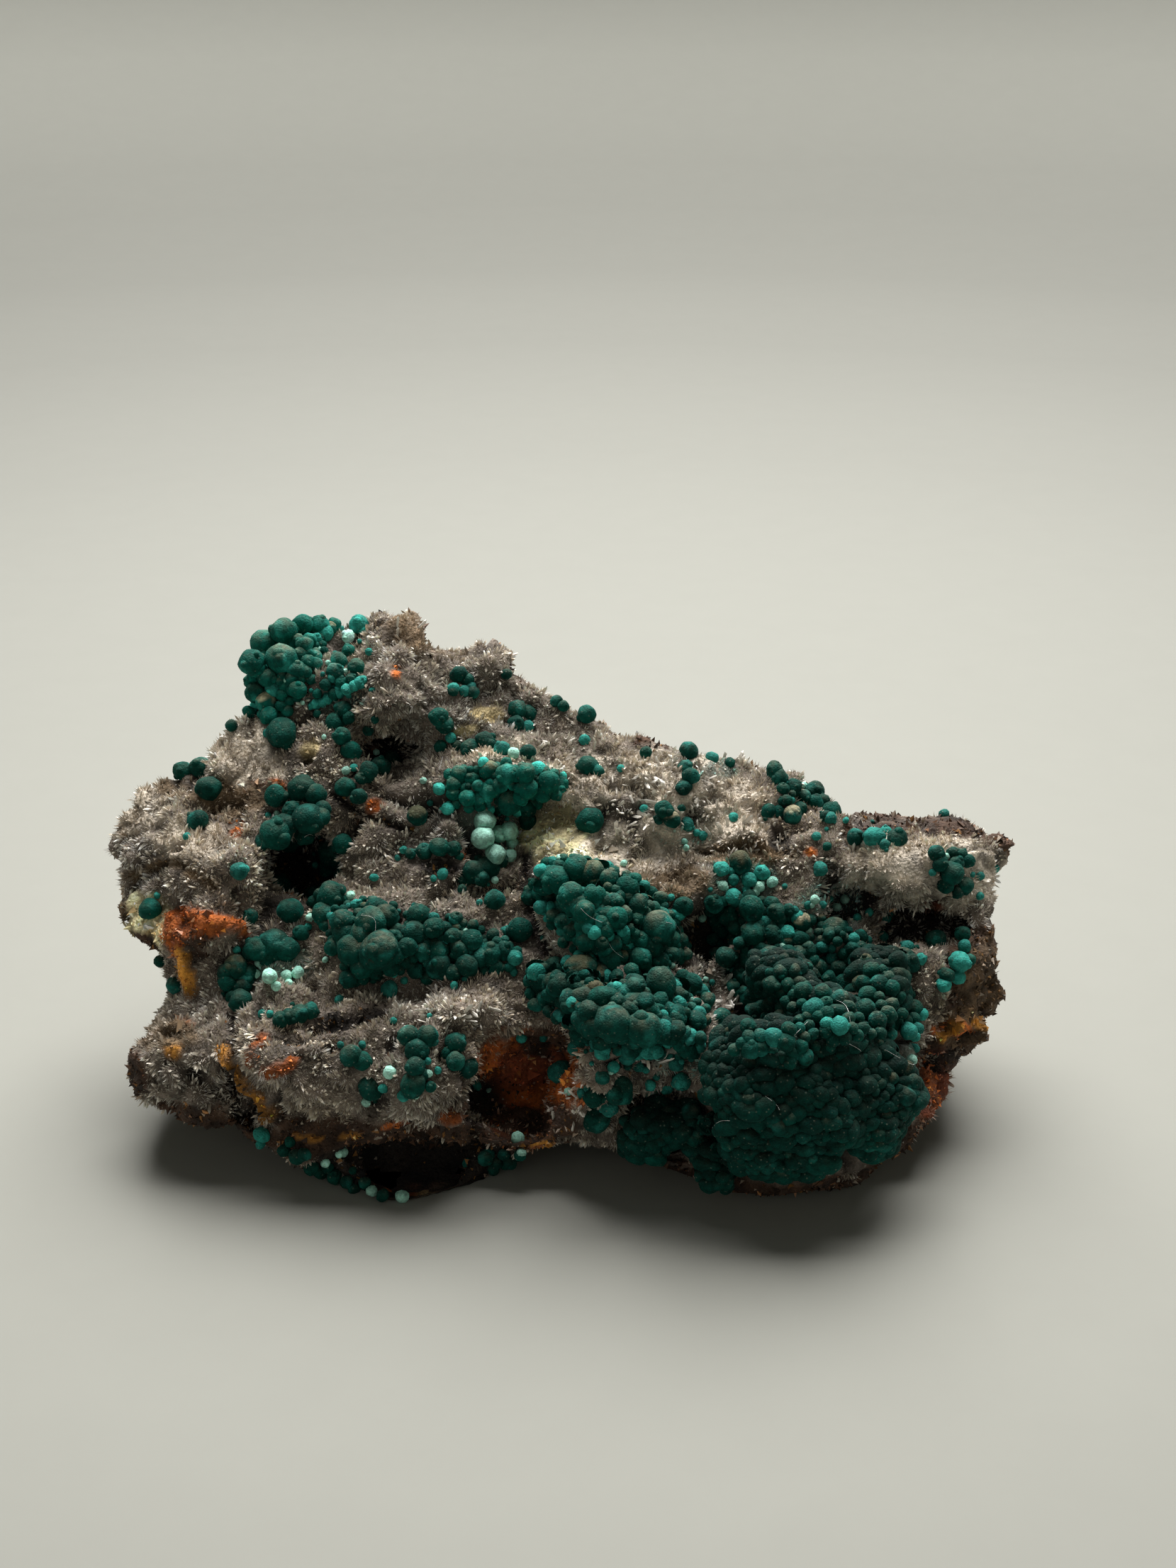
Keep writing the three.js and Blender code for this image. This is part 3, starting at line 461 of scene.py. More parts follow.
# Deepened hollows of the matrix: (x, y, half width, half height) in pixels, and the depth in millimetres
HOLLOWS = [
    (805, 1150, 42, 17, 1.6), (545, 1057, 42, 17, 3.0), (432, 1215, 50, 38, 3.0),
    (700, 1543, 36, 34, 3.5), (600, 1652, 160, 34, 3.0), (1300, 1303, 66, 15, 4.0),
    (1215, 1270, 28, 16, 2.5), (1000, 1318, 34, 30, 2.5), (1055, 1425, 26, 26, 2.5),
    (350, 1565, 20, 28, 2.5), (1345, 1500, 40, 12, 3.0), (930, 1585, 36, 36, 2.0),
]

# Places of the coarse clear blades: (x, y, half width, half height) in pixels, and how many
BLADE_BEDS = [
    (930, 1110, 80, 45, 60), (1060, 1170, 80, 40, 45), (800, 1060, 40, 40, 24),
    (1030, 1405, 14, 26, 14), (800, 1565, 24, 26, 16), (930, 1495, 34, 14, 18), (640, 1430, 70, 20, 26),
    (560, 900, 60, 20, 14), (1000, 1070, 60, 20, 22), (860, 1160, 40, 30, 22),
]

# Loose fibres of dust: the two ends in pixels
DUST_FIBRES = [
    ((820, 1280), (850, 1300)), ((1180, 1410), (1200, 1440)), ((1195, 1470), (1215, 1482)),
    ((1080, 1545), (1100, 1565)), ((510, 1290), (530, 1312)), ((1250, 1480), (1290, 1500)),
    ((1120, 1460), (1140, 1440)), ((620, 1085), (632, 1045)), ((940, 1300), (962, 1318)),
    ((1005, 1590), (1030, 1580)), ((860, 1330), (880, 1350)), ((430, 1180), (452, 1196)),
]

# How bare of needles each kind of ground is. Needles cover the others.
BARENESS = {
    "gossan": 0.95, "dark": 0.9, "rust": 0.92, "red": 0.55, "ochre": 0.94, "clay": 0.97, "loam": 0.35,
    "tan": 0.9,
}

# The dark ground's colour is painted shade and the pale ground's painted light; the pale also colours
# some loose crumbs.
GROUND_COLOURS = {
    "druse": (0.190, 0.155, 0.125),
    "gossan": (0.060, 0.030, 0.016),
    "rust": (0.380, 0.095, 0.014),
    "red": (0.280, 0.070, 0.028),
    "ochre": (0.460, 0.200, 0.028),
    "clay": (0.930, 0.810, 0.480),
    "loam": (0.430, 0.340, 0.175),
    "tan": (0.105, 0.064, 0.032),
    "stain": (0.200, 0.135, 0.075),
    "frost": (0.330, 0.620, 0.550),
    "pale": (0.620, 0.540, 0.440),
    "dark": (0.016, 0.011, 0.008),
}

FROST_COVER = 0.2  # how much of the ground a frost covers

# How much dust lies on a ball of each finish. A plain one's is drawn at random.
DUSTING = {"d": 0.85, "o": 0.6, "c": 0.3, "b": 0.1, "m": 0.05, "k": 0.3}

SPECK_COLOUR = (0.30, 0.33, 0.26, 1.0)
SHEEN_COLOUR = (0.55, 0.85, 0.80, 1.0)
BLADE_COLOUR = (0.95, 0.90, 0.81)
CRYSTAL_IOR = 1.61
FIBRE_STEPS = 8
FIBRE_BOW = 7  # how far a fibre bends aside, in pixels
FIBRE_LIFT = 0.12  # how far a fibre lies over the balls, in millimetres

# Balls that are set down, as centre and radius in millimetres. Needles, blades and crumbs keep clear
# of them.
set_down = []


def length_setting(name, description, millimetres):
    """A length, given in millimetres and kept in metres."""
    return FloatProperty(
        name=name, description=description, default=millimetres * MM, unit="LENGTH", subtype="DISTANCE"
    )


def colour_setting(name, description, colour):
    """A colour in linear values."""
    return FloatVectorProperty(name=name, description=description, default=colour, subtype="COLOR")


def count_setting(name, description, count):
    """A whole number."""
    return IntProperty(name=name, description=description, default=count)


def number_setting(name, description, number):
    """A plain number."""
    return FloatProperty(name=name, description=description, default=number)


class GossanSettings(bpy.types.PropertyGroup):
    """The broken brown ground of the specimen."""

    voxel: length_setting("Grain", "Size of the skin's facets", 0.47)
    coarse: length_setting("Lumps", "Height of the lumps", 1.15)
    fine: length_setting("Crumbs", "Height of the crumbs", 0.35)
    gap: length_setting("Crevices", "Depth of the crevices", 1.3)
    mound: length_setting("Mounds", "Height of the mounds under the needles", 0.6)
    crumb: length_setting("Loose crumbs", "Size of a loose crumb", 0.42)
    crumb_count: count_setting("Crumb count", "Loose crumbs on the bare ground", 24000)
    draw_in: length_setting("Druse depth", "How far the ground lies under the tips of the druse", 0.4)


class DruseSettings(bpy.types.PropertyGroup):
    """The fur of grey needles."""

    fine_count: count_setting("Fine needles", "Needles in each of the two fine fields", 46000)
    coarse_count: count_setting("Coarse needles", "Needles in the coarse field", 8000)
    tufts: count_setting("Tufts", "Fans that the needles lean from", 3000)
    length: length_setting("Length", "Length of a common needle", 0.58)
    width: length_setting("Width", "Width of a common needle", 0.12)
    # The darker root colour is painted shade down among the needles, and the paler tip colour painted
    # light.
    root: colour_setting("Root colour", "Colour at the foot", (0.385, 0.305, 0.23))
    tip: colour_setting("Tip colour", "Colour at the tip", (0.97, 0.885, 0.74))


class BallSettings(bpy.types.PropertyGroup):
    """The green balls and crusts."""

    green: colour_setting("Green", "Colour of a clean ball", (0.0012, 0.066, 0.049))
    deep: colour_setting("Deep green", "Colour of the darkest balls", (0.0006, 0.030, 0.023))
    bright: colour_setting("Turquoise", "Colour of a thin bright ball", (0.028, 0.270, 0.225))
    mint: colour_setting("Mint", "Colour of a pale ball", (0.390, 0.740, 0.610))
    dust: colour_setting("Olive dust", "Colour of the dust on a ball", (0.084, 0.090, 0.061))
    cream: colour_setting("Cream", "Colour of a coated top", (0.420, 0.360, 0.230))
    rust: colour_setting("Rusty dust", "Colour of a stained top", (0.110, 0.088, 0.046))
    satellites: count_setting("Buds", "Small buds on each ball of a growth", 2)
    bed_smoothing: count_setting("Bed smoothing", "Rounds that even out a bed", 40)
    bed_depth: length_setting("Bed depth", "How far a crust's bed lies under its solid", 0.7)
    bed_lumps: length_setting("Bed lumps", "Height of a bed's lumps", 0.55)
    grain: number_setting("Grain", "Height of the grains of a ball against its radius", 0.08)


class BladeSettings(bpy.types.PropertyGroup):
    """The coarse clear blades."""

    length: length_setting("Length", "Length of a common blade", 1.25)
    width: length_setting("Width", "Width of a common blade", 0.4)


class DustSettings(bpy.types.PropertyGroup):
    """The loose fibres of dust."""

    thickness: length_setting("Thickness", "Thickness of a fibre", 0.05)
    colour: colour_setting("Colour", "Colour of a fibre", (0.75, 0.76, 0.74))


class StageSettings(bpy.types.PropertyGroup):
    """The floor, the light and the camera."""

    floor: colour_setting("Floor", "Colour of the floor", (0.30, 0.302, 0.272))
    lens: number_setting("Lens", "Focal length in millimetres", 50.05)
    overhead: number_setting("Overhead light", "Power in watts", 8.0)
    fill: number_setting("Fill light", "Power in watts", 0.12)
    sky: number_setting("Sky", "Strength of the even light", 0.08)


def settings(name):
    """One group of settings of the scene."""
    return getattr(bpy.context.scene, "specimen_" + name)


def unit(vectors):
    """Vectors of length one."""
    vectors = np.asarray(vectors, dtype=float)
    return vectors / np.maximum(np.linalg.norm(vectors, axis=-1, keepdims=True), 1e-9)


def hashed(cells, seed):
    """A number from 0 to 1 for each whole cell of a lattice."""
    mixed = cells[..., 0] * CELL_SPREAD[0] ^ cells[..., 1] * CELL_SPREAD[1]
    mixed = mixed ^ cells[..., 2] * CELL_SPREAD[2] ^ seed * SEED_SPREAD
    mixed = (mixed ^ (mixed >> 13)) * MIX_SPREAD
    mixed = (mixed ^ (mixed >> 16)) & HASH_BITS
    return mixed / float(HASH_BITS)


def noise(points, size, seed):
    """Smooth noise from -1 to 1 whose lumps are about `size` millimetres across.

    Each seed gives a pattern of its own.
    """
    scaled = np.asarray(points) / size
    low = np.floor(scaled).astype(np.int64)
    part = scaled - low
    part = part * part * (3 - 2 * part)
    total = np.zeros(len(scaled))
    for corner in range(8):
        step = np.array([corner & 1, corner >> 1 & 1, corner >> 2 & 1])
        weight = np.prod(np.where(step, part, 1 - part), axis=1)
        total += weight * hashed(low + step, seed)
    return total * 2 - 1


def ramp(values, start, width):
    """0 up to the start, rising to 1 over the width."""
    return np.clip((values - start) / width, 0, 1)


def ridged(points, size, seed):
    """Sharp-crested noise from 0 to 1."""
    return 1 - np.abs(noise(points, size, seed))


def pixels_of(points):
    """The picture's pixels that points in millimetres are seen at."""
    seen = np.asarray(points) - EYE
    depth = -seen @ OUT
    focal = PIXELS_PER_MM * SIGHT_DISTANCE
    across = FACE_PIXEL[0] + focal * (seen @ ACROSS) / depth
    down = FACE_PIXEL[1] - PIXELS_PER_MM * SIGHT_RISE - focal * (seen @ UP) / depth
    return np.stack([across, down], axis=1)


def sight(pixel):
    """The direction from the eye through a pixel."""
    across = (pixel[0] - FACE_PIXEL[0]) / PIXELS_PER_MM
    upward = (FACE_PIXEL[1] - pixel[1]) / PIXELS_PER_MM - SIGHT_RISE
    return unit(ACROSS * across + UP * upward - OUT * SIGHT_DISTANCE)


def oval(pixels, place):
    """0 at the middle of an oval of pixels, 1 on its edge."""
    return np.hypot((pixels[:, 0] - place[0]) / place[2], (pixels[:, 1] - place[1]) / place[3])


def seam(pixels, points, half_width):
    """0 along a line of pixels, 1 at its half width."""
    nearest = np.full(len(pixels), np.inf)
    for start, end in zip(points, points[1:]):
        start = np.array(start, dtype=float)
        along = np.array(end) - start
        share = np.clip(((pixels - start) @ along) / (along @ along), 0, 1)
        nearest = np.minimum(nearest, np.linalg.norm(pixels - start - share[:, None] * along, axis=1))
    return nearest / half_width


def inside(pixels, corners):
    """Which pixels lie inside a closed outline."""
    found = np.zeros(len(pixels), dtype=bool)
    for (x0, y0), (x1, y1) in zip(corners, corners[1:] + corners[:1]):
        if y0 != y1:
            crosses = (y0 > pixels[:, 1]) != (y1 > pixels[:, 1])
            found ^= crosses & (pixels[:, 0] < (x1 - x0) * (pixels[:, 1] - y0) / (y1 - y0) + x0)
    return found


def mesh_arrays(mesh):
    """The vertices in millimetres, the vertex normals and the triangles of a mesh."""
    vertices = np.empty(len(mesh.vertices) * 3)
    mesh.vertices.foreach_get("co", vertices)
    normals = np.empty(len(mesh.vertices) * 3)
    mesh.vertices.foreach_get("normal", normals)
    mesh.calc_loop_triangles()
    triangles = np.empty(len(mesh.loop_triangles) * 3, dtype=np.int32)
    mesh.loop_triangles.foreach_get("vertices", triangles)
    return vertices.reshape(-1, 3) / MM, normals.reshape(-1, 3), triangles.reshape(-1, 3)


def add_object(name, data):
    """A new object in the scene."""
    made = bpy.data.objects.new(name, data)
    bpy.context.scene.collection.objects.link(made)
    return made


def smooth_copy(node, voxel, rounds, drawn_in):
    """A finely faceted, smoothed copy of a solid, as vertices in millimetres, normals and triangles."""
    copy = add_object("working_copy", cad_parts[node].data.copy())
    remesh = copy.modifiers.new("Grain", "REMESH")
    remesh.mode = "VOXEL"
    remesh.voxel_size = voxel
    smooth = copy.modifiers.new("Smooth", "SMOOTH")
    smooth.iterations = rounds
    smooth.factor = 0.5
    view = bpy.context.evaluated_depsgraph_get()
    mesh = bpy.data.meshes.new_from_object(copy.evaluated_get(view))
    vertices, normals, triangles = mesh_arrays(mesh)
    source = copy.data
    bpy.data.objects.remove(copy)
    bpy.data.meshes.remove(source)
    bpy.data.meshes.remove(mesh)
    return vertices - normals * drawn_in, normals, triangles


def blend(tints, colour, share):
    """Lays a colour over tints, with a share for each of them."""
    tints += (np.array(colour) - tints) * share[:, None]


def tint_mesh(mesh, tints):
    """Gives each vertex of a mesh its own colour."""
    tint = mesh.attributes.new("Tint", "FLOAT_COLOR", "POINT")
    opaque = np.concatenate([tints, np.ones((len(tints), 1))], axis=1)
    tint.data.foreach_set("color", opaque.astype(np.float32).ravel())


def new_piece(name, vertices, faces, tints, material, nodes, slot, smooth=True):
    """Adds a mesh object to the frame, in place of the nodes it dresses."""
    mesh = bpy.data.meshes.new(name)
    on_floor = np.maximum(vertices, [-np.inf, -np.inf, 0.0])
    mesh.from_pydata((on_floor * MM).tolist(), [], np.asarray(faces).tolist())
    tint_mesh(mesh, tints)
    if smooth:
        mesh.shade_smooth()
    else:
        mesh.shade_flat()
    mesh.materials.append(material)
    piece = add_object(name, mesh)
    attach(piece, "root")
    if nodes:
        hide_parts(*nodes)


def surface_tree(names):
    """A tree of the named objects' triangles, in millimetres."""
    vertices = []
    triangles = []
    start = 0
    for name in names:
        part_vertices, _, part_triangles = mesh_arrays(bpy.data.objects[name].data)
        vertices.append(part_vertices)
        triangles.append(part_triangles + start)
        start += len(part_vertices)
    return BVHTree.FromPolygons(np.concatenate(vertices).tolist(), np.concatenate(triangles).tolist())


def seat(tree, pixel, reach=0.0):
    """The place and the normal of the surface under a pixel.

    A pixel beyond the skyline is drawn in until it meets the surface, and then stands out by its reach.
    """
    here = np.array(pixel, dtype=float)
    inward = unit(np.array(BODY_PIXEL) - here)
    for step in range(SKYLINE_STEPS):
        place, normal, _, distance = tree.ray_cast(Vector(EYE), Vector(sight(here)))
        if place is not None:
            kept = here - inward * min(reach, step * SKYLINE_STEP)
            return EYE + sight(kept) * distance, np.array(normal)
        here += inward * SKYLINE_STEP
    raise ValueError(f"no surface under the pixel {pixel}")


def set_sockets(node, **values):
    """Sets sockets of a shader node. A name has _ for each space."""
    for name, value in values.items():
        node.inputs[name.replace("_", " ")].default_value = value


def new_material(name, roughness):
    """A material with its node tree and its main shader."""
    material = bpy.data.materials.new(name)
    material.use_nodes = True
    tree = material.node_tree
    shader = tree.nodes["Principled BSDF"]
    set_sockets(shader, Roughness=roughness)
    return material, tree, shader


def add_node(tree, kind, **values):
    """A shader node with some of its sockets set."""
    made = tree.nodes.new(kind)
    set_sockets(made, **values)
    return made


def join(tree, source, output, target, socket):
    """Links an output of one shader node to a socket of another."""
    tree.links.new(source.outputs[output], target.inputs[socket])


def tinted(tree, shader, size, least, most):
    """Colours a shader by the Tint attribute, mottled by noise of a size in millimetres."""
    place = tree.nodes.new("ShaderNodeTexCoord")
    tint = tree.nodes.new("ShaderNodeAttribute")
    tint.attribute_name = "Tint"
    mottle = add_node(tree, "ShaderNodeTexNoise", Scale=1 / (size * MM), Detail=5.0, Roughness=0.65)
    spread = add_node(tree, "ShaderNodeMapRange", From_Min=0.3, From_Max=0.7, To_Min=least, To_Max=most)
    scaled = tree.nodes.new("ShaderNodeVectorMath")
    scaled.operation = "SCALE"
    join(tree, place, "Object", mottle, "Vector")
    join(tree, mottle, "Fac", spread, "Value")
    join(tree, tint, "Color", scaled, 0)
    join(tree, spread, "Result", scaled, "Scale")
    join(tree, scaled, "Vector", shader, "Base Color")
    return place


def bumped(tree, shader, place, size, strength, depth):
    """Gives a shader a grain of noise and cells of a size in millimetres."""
    cells = add_node(tree, "ShaderNodeTexVoronoi", Scale=1 / (size * MM))
    crumbs = add_node(tree, "ShaderNodeTexNoise", Scale=1.7 / (size * MM), Detail=4.0)
    both = tree.nodes.new("ShaderNodeMath")
    both.operation = "SUBTRACT"
    bump = add_node(tree, "ShaderNodeBump", Strength=strength, Distance=depth * MM)
    join(tree, place, "Object", cells, "Vector")
    join(tree, place, "Object", crumbs, "Vector")
    join(tree, crumbs, "Fac", both, 0)
    join(tree, cells, "Distance", both, 1)
    join(tree, both, "Value", bump, "Height")
    join(tree, bump, "Normal", shader, "Normal")


def ground_weights(points, normals):
    """How much each kind of ground shows at each point.

    The list holds (kind, weight), and later ones lie over earlier ones.
    """
    pixels = pixels_of(points)
    front = ramp(normals @ OUT, -0.15, 0.4)
    ragged = noise(points, 2.2, 31) * 0.28 + noise(points, 0.9, 32) * 0.18
    weights = []
    patches = noise(points, 9, 33) * 0.5 + noise(points, 4, 34) * 0.4
    broken = ramp(patches + 0.35, front * 1.6, 0.3)
    under = ramp(-normals[:, 2], 0.25, 0.3) * (1 - front)
    low = ramp(-points[:, 2], -FOOT_TOP, FOOT_FADE)
    weights.append(("gossan", np.maximum(np.maximum(broken, under), low)))
    back = (1 - front) * ramp(noise(points, 5, 35), 0.25, 0.2)
    weights.append(("rust", back * np.clip((noise(points, 3, 36) + 0.1) / 0.5, 0, 0.6)))
    weights.append(("loam", back * np.clip((noise(points, 3, 37) - 0.1) / 0.5, 0, 0.6)))
    for place in GROUND:
        edge = oval(pixels, place) + ragged
        weights.append((place[4], ramp(-edge, -1.08, 0.22) * front))
    for line, half_width, kind, _ in SEAMS:
        edge = seam(pixels, line, half_width) + ragged
        weights.append((kind, ramp(-edge, -1.1, 0.25) * front))
    return weights


def bare_share(points, normals):
    """How bare of needles each point is, from 0 to 1."""
    bare = np.zeros(len(points))
    for kind, weight in ground_weights(points, normals):
        bare = np.maximum(bare, weight * BARENESS.get(kind, 0.0))
    return bare


def clay_share(points, normals):
    """How much clay lies at each point, from 0 to 1."""
    share = np.zeros(len(points))
    for kind, weight in ground_weights(points, normals):
        if kind == "clay":
            share = np.maximum(share, weight)
    return share


def crevices(points):
    """How deep in a crevice each point lies, from 0 to 1."""
    bent = points + np.stack([noise(points, 2.5, seed) for seed in (81, 82, 83)], axis=1) * 0.9
    crack = np.clip(1 - np.abs(noise(bent, 5.5, 84)) / 0.16, 0, 1)
    here = ramp(noise(points, 8.0, 85), -0.15, 0.35)
    pits = ramp(noise(bent, 2.6, 86), 0.52, 0.2)
    return np.maximum(crack * here, pits)


def raise_ground(height, pixels, normals):
    """Adds the rises, seams and hollows of the tables to the ground's height."""
    front = np.clip(normals @ OUT / 0.3, 0, 1)
    faces_eye = ramp(normals @ OUT, -0.35, 0.3)
    for place in RISES:
        height += np.clip(1.1 - oval(pixels, place), 0, 1) ** 0.7 * place[4] * faces_eye
    for line, half_width, _, rise in SEAMS:
        height += np.clip(1.3 - seam(pixels, line, half_width), 0, 1) * rise * front
    for place in HOLLOWS:
        height -= np.clip(1.15 - oval(pixels, place), 0, 1) ** 0.8 * place[4] * front


def paint_gossan(vertices, normals, bare, crumbs, lit):
    """The tints of the ground, by its stains, its crumbs and the painted shade and light of the dark and
    pale grounds, with painted shade where its crevices and the creases between its mounds let in little
    light.
    """
    tints = np.tile(np.array(GROUND_COLOURS["druse"]), (len(vertices), 1))
    for kind, weight in ground_weights(vertices, normals):
        cover = FROST_COVER if kind == "frost" else 1.0
        blend(tints, GROUND_COLOURS[kind], weight * cover)
    tints *= (1 + 0.35 * noise(vertices, 1.6, 5) + 0.35 * crumbs)[:, None]
    patchy = noise(vertices, 2.4, 8) + noise(vertices, 0.9, 9)
    tints *= np.clip(1 + bare * patchy * 0.6, 0.25, 1.7)[:, None]
    return np.clip(tints * lit[:, None], 0.003, 1)


class SPECIMEN_OT_gossan(bpy.types.Operator):
    """Break the matrix into lumps and stain them"""

    bl_idname = "specimen.gossan"
    bl_label = "Gossan"

    def execute(self, context):
        values = settings("gossan")
        vertices, normals, triangles = smooth_copy("matrix", values.voxel, rounds=9, drawn_in=0.0)
        bare = bare_share(vertices, normals)
        pixels = pixels_of(vertices)
        lumps = noise(vertices, 6.5, 6) * 0.8 + noise(vertices, 3.4, 1) * 0.6
        lumps = lumps + ridged(vertices, 2.3, 2) * 0.55 - 0.5
        crumbs = noise(vertices, 1.15, 3) * 0.7 + ridged(vertices, 0.8, 4) * 0.7 - 0.5
        height = lumps * values.coarse / MM + crumbs * values.fine / MM * (0.6 + bare)
        height -= values.draw_in / MM * (1 - bare * 0.7)
        mounds = np.abs(noise(vertices, MOUND_SIZE, 7))
        height += (mounds * 1.6 - 0.3) * values.mound / MM * (1 - bare)
        gaps = crevices(vertices) * (1 - clay_share(vertices, normals))
        height -= gaps * values.gap / MM
        height *= 1 - 0.6 * np.clip(1.2 - oval(pixels, EVEN_SLAB), 0, 1)
        raise_ground(height, pixels, normals)
        on_floor = ramp(vertices[:, 2], 0.25, 1.2)
        moved = vertices + normals * (height * on_floor)[:, None]
        moved[:, 2] = np.maximum(moved[:, 2], np.minimum(vertices[:, 2], 0.0))
        # Painted shade in the crevices and in the creases between the mounds.
        lit = (1 - 0.85 * gaps) * np.clip(0.45 + mounds * 2.2 + bare, 0.45, 1)
        tints = paint_gossan(vertices, normals, bare, crumbs, lit)
        material, tree, shader = new_material("Gossan", roughness=0.88)
        place = tinted(tree, shader, size=0.7, least=0.62, most=1.35)
        bumped(tree, shader, place, size=0.35, strength=0.8, depth=0.25)
        new_piece("gossan", moved, triangles, tints, material, ["matrix"], "druse")
        return {"FINISHED"}


def ball_form(divisions):
    """The vertices and triangles of a round ball of radius one."""
    form = bmesh.new()
    bmesh.ops.create_icosphere(form, subdivisions=divisions, radius=1.0)
    vertices = np.array([vertex.co for vertex in form.verts])
    triangles = np.array([[vertex.index for vertex in face.verts] for face in form.faces])
    form.free()
    return vertices, triangles


BALL_FORMS = {divisions: ball_form(divisions) for divisions in (2, 3, 4)}


def paint_ball(points, normals, finish, rng):
    """The tints of one ball's surface."""
    values = settings("balls")
    # A deep green ball is darker: partly its own colour, partly painted shade.
    depth = rng.uniform(0.45, 1.0) if finish == "k" else rng.uniform(0.0, 0.75)
    green = np.array(values.green) + (np.array(values.deep) - np.array(values.green)) * depth
    bright = np.array(values.bright) * rng.uniform(0.45, 1.1)
    mint = np.array(values.mint) * rng.uniform(0.7, 1.1)
    base = {"b": bright, "m": mint}.get(finish, green)
    tints = np.tile(base, (len(points), 1))
    patches = ramp(noise(points, 1.1, 41), 0.35, 0.3) * (0.15 if finish == "k" else 0.35)
    blend(tints, values.bright, patches)
    above = ramp(normals[:, 2], 0.25, 0.6)
    speckle = np.clip(0.5 + noise(points, 0.8, 42) * 0.6 + noise(points, 0.3, 45) * 0.6, 0, 1)
    amount = DUSTING.get(finish, rng.uniform(0.05, 0.6))
    blend(tints, values.dust, above * speckle * amount)
    coat = {"c": values.cream, "o": values.rust}.get(finish)
    if coat is not None:
        cap = np.clip((normals[:, 2] - 0.45 + noise(points, 0.5, 43) * 0.6) / 0.5, 0, 0.6)
        blend(tints, coat, cap)
    # Painted shade on the top of a deep green ball.
    if finish == "k":
        tints *= (1 - 0.3 * above)[:, None]
    return np.clip(tints * (1 + noise(points, 0.35, 44) * 0.3)[:, None], 0.001, 1)


def add_ball(parts, centre, radius, finish, rng, foot, roll=None):
    """Adds one grainy ball, or a roll along an axis, to the lists of a piece.

    The foot is the direction that the ball grew in, and how much of it is left open below, as a share of
    its radius.
    """
    values = settings("balls")
    form, triangles = BALL_FORMS[2 + (radius >= SMALL_BALL) + (radius >= LARGE_BALL)]
    turn = unit(rng.normal(size=(3, 3)))
    turn, _ = np.linalg.qr(turn)
    directions = form @ turn
    shown = directions[triangles].mean(axis=1) @ foot[0] > foot[1] - 1
    used, triangles = np.unique(triangles[shown], return_inverse=True)
    triangles = triangles.reshape(-1, 3)
    directions = directions[used]
    seeds = directions * radius + centre
    swell = 1 + noise(seeds, radius * 0.9, 51) * 0.12
    swell = swell + noise(seeds, radius * 0.33 + 0.08, 52) * values.grain
    if roll is None:
        roll = (unit(rng.normal(size=3)), rng.uniform(0.92, 1.16))
    axis, stretch = roll
    shape = directions + axis * ((directions @ axis) * (stretch - 1))[:, None]
    points = centre + shape * radius * swell[:, None]
    parts["triangles"].append(triangles + parts["count"])
    parts["vertices"].append(points)
    parts["tints"].append(paint_ball(points, directions, finish, rng))
    parts["count"] += len(points)
    set_down.append((centre, radius))


def crowd(least, most, corners, rng):
    """Balls thrown into an outline until it is crowded: (x, y, radius, finish) in pixels."""
    low = np.min(corners, axis=0)
    high = np.max(corners, axis=0)
    kept = np.empty((0, 3))
    for share in CROWD_ROUNDS:
        for _ in range(int((high[0] - low[0]) * (high[1] - low[1]) / CROWD_AREA)):
            here = rng.uniform(low, high)
            radius = least + (most - least) * share * rng.random()
            apart = np.hypot(kept[:, 0] - here[0], kept[:, 1] - here[1])
            if inside(here[None], corners)[0] and np.all(apart > (kept[:, 2] + radius) * CROWDING):
                kept = np.vstack([kept, [here[0], here[1], radius]])
    kinds, shares = CROWD_FINISHES
    finishes = rng.choice(kinds, size=len(kept), p=shares)
    return [(x, y, radius, finish) for (x, y, radius), finish in zip(kept, finishes)]


def empty_parts():
    """The lists that a piece of many balls is gathered in."""
    return {"vertices": [], "triangles": [], "tints": [], "count": 0}


def gathered(parts):
    """The vertices, triangles and tints of the balls in the lists of a piece."""
    return [np.concatenate(parts[kind]) for kind in ("vertices", "triangles", "tints")]


def stands_out(ground, place):
    """Whether a place lies outside the gossan."""
    nearest, normal, _, _ = ground.find_nearest(Vector(place))
    return (Vector(place) - nearest).dot(normal) > -BED_BURIAL


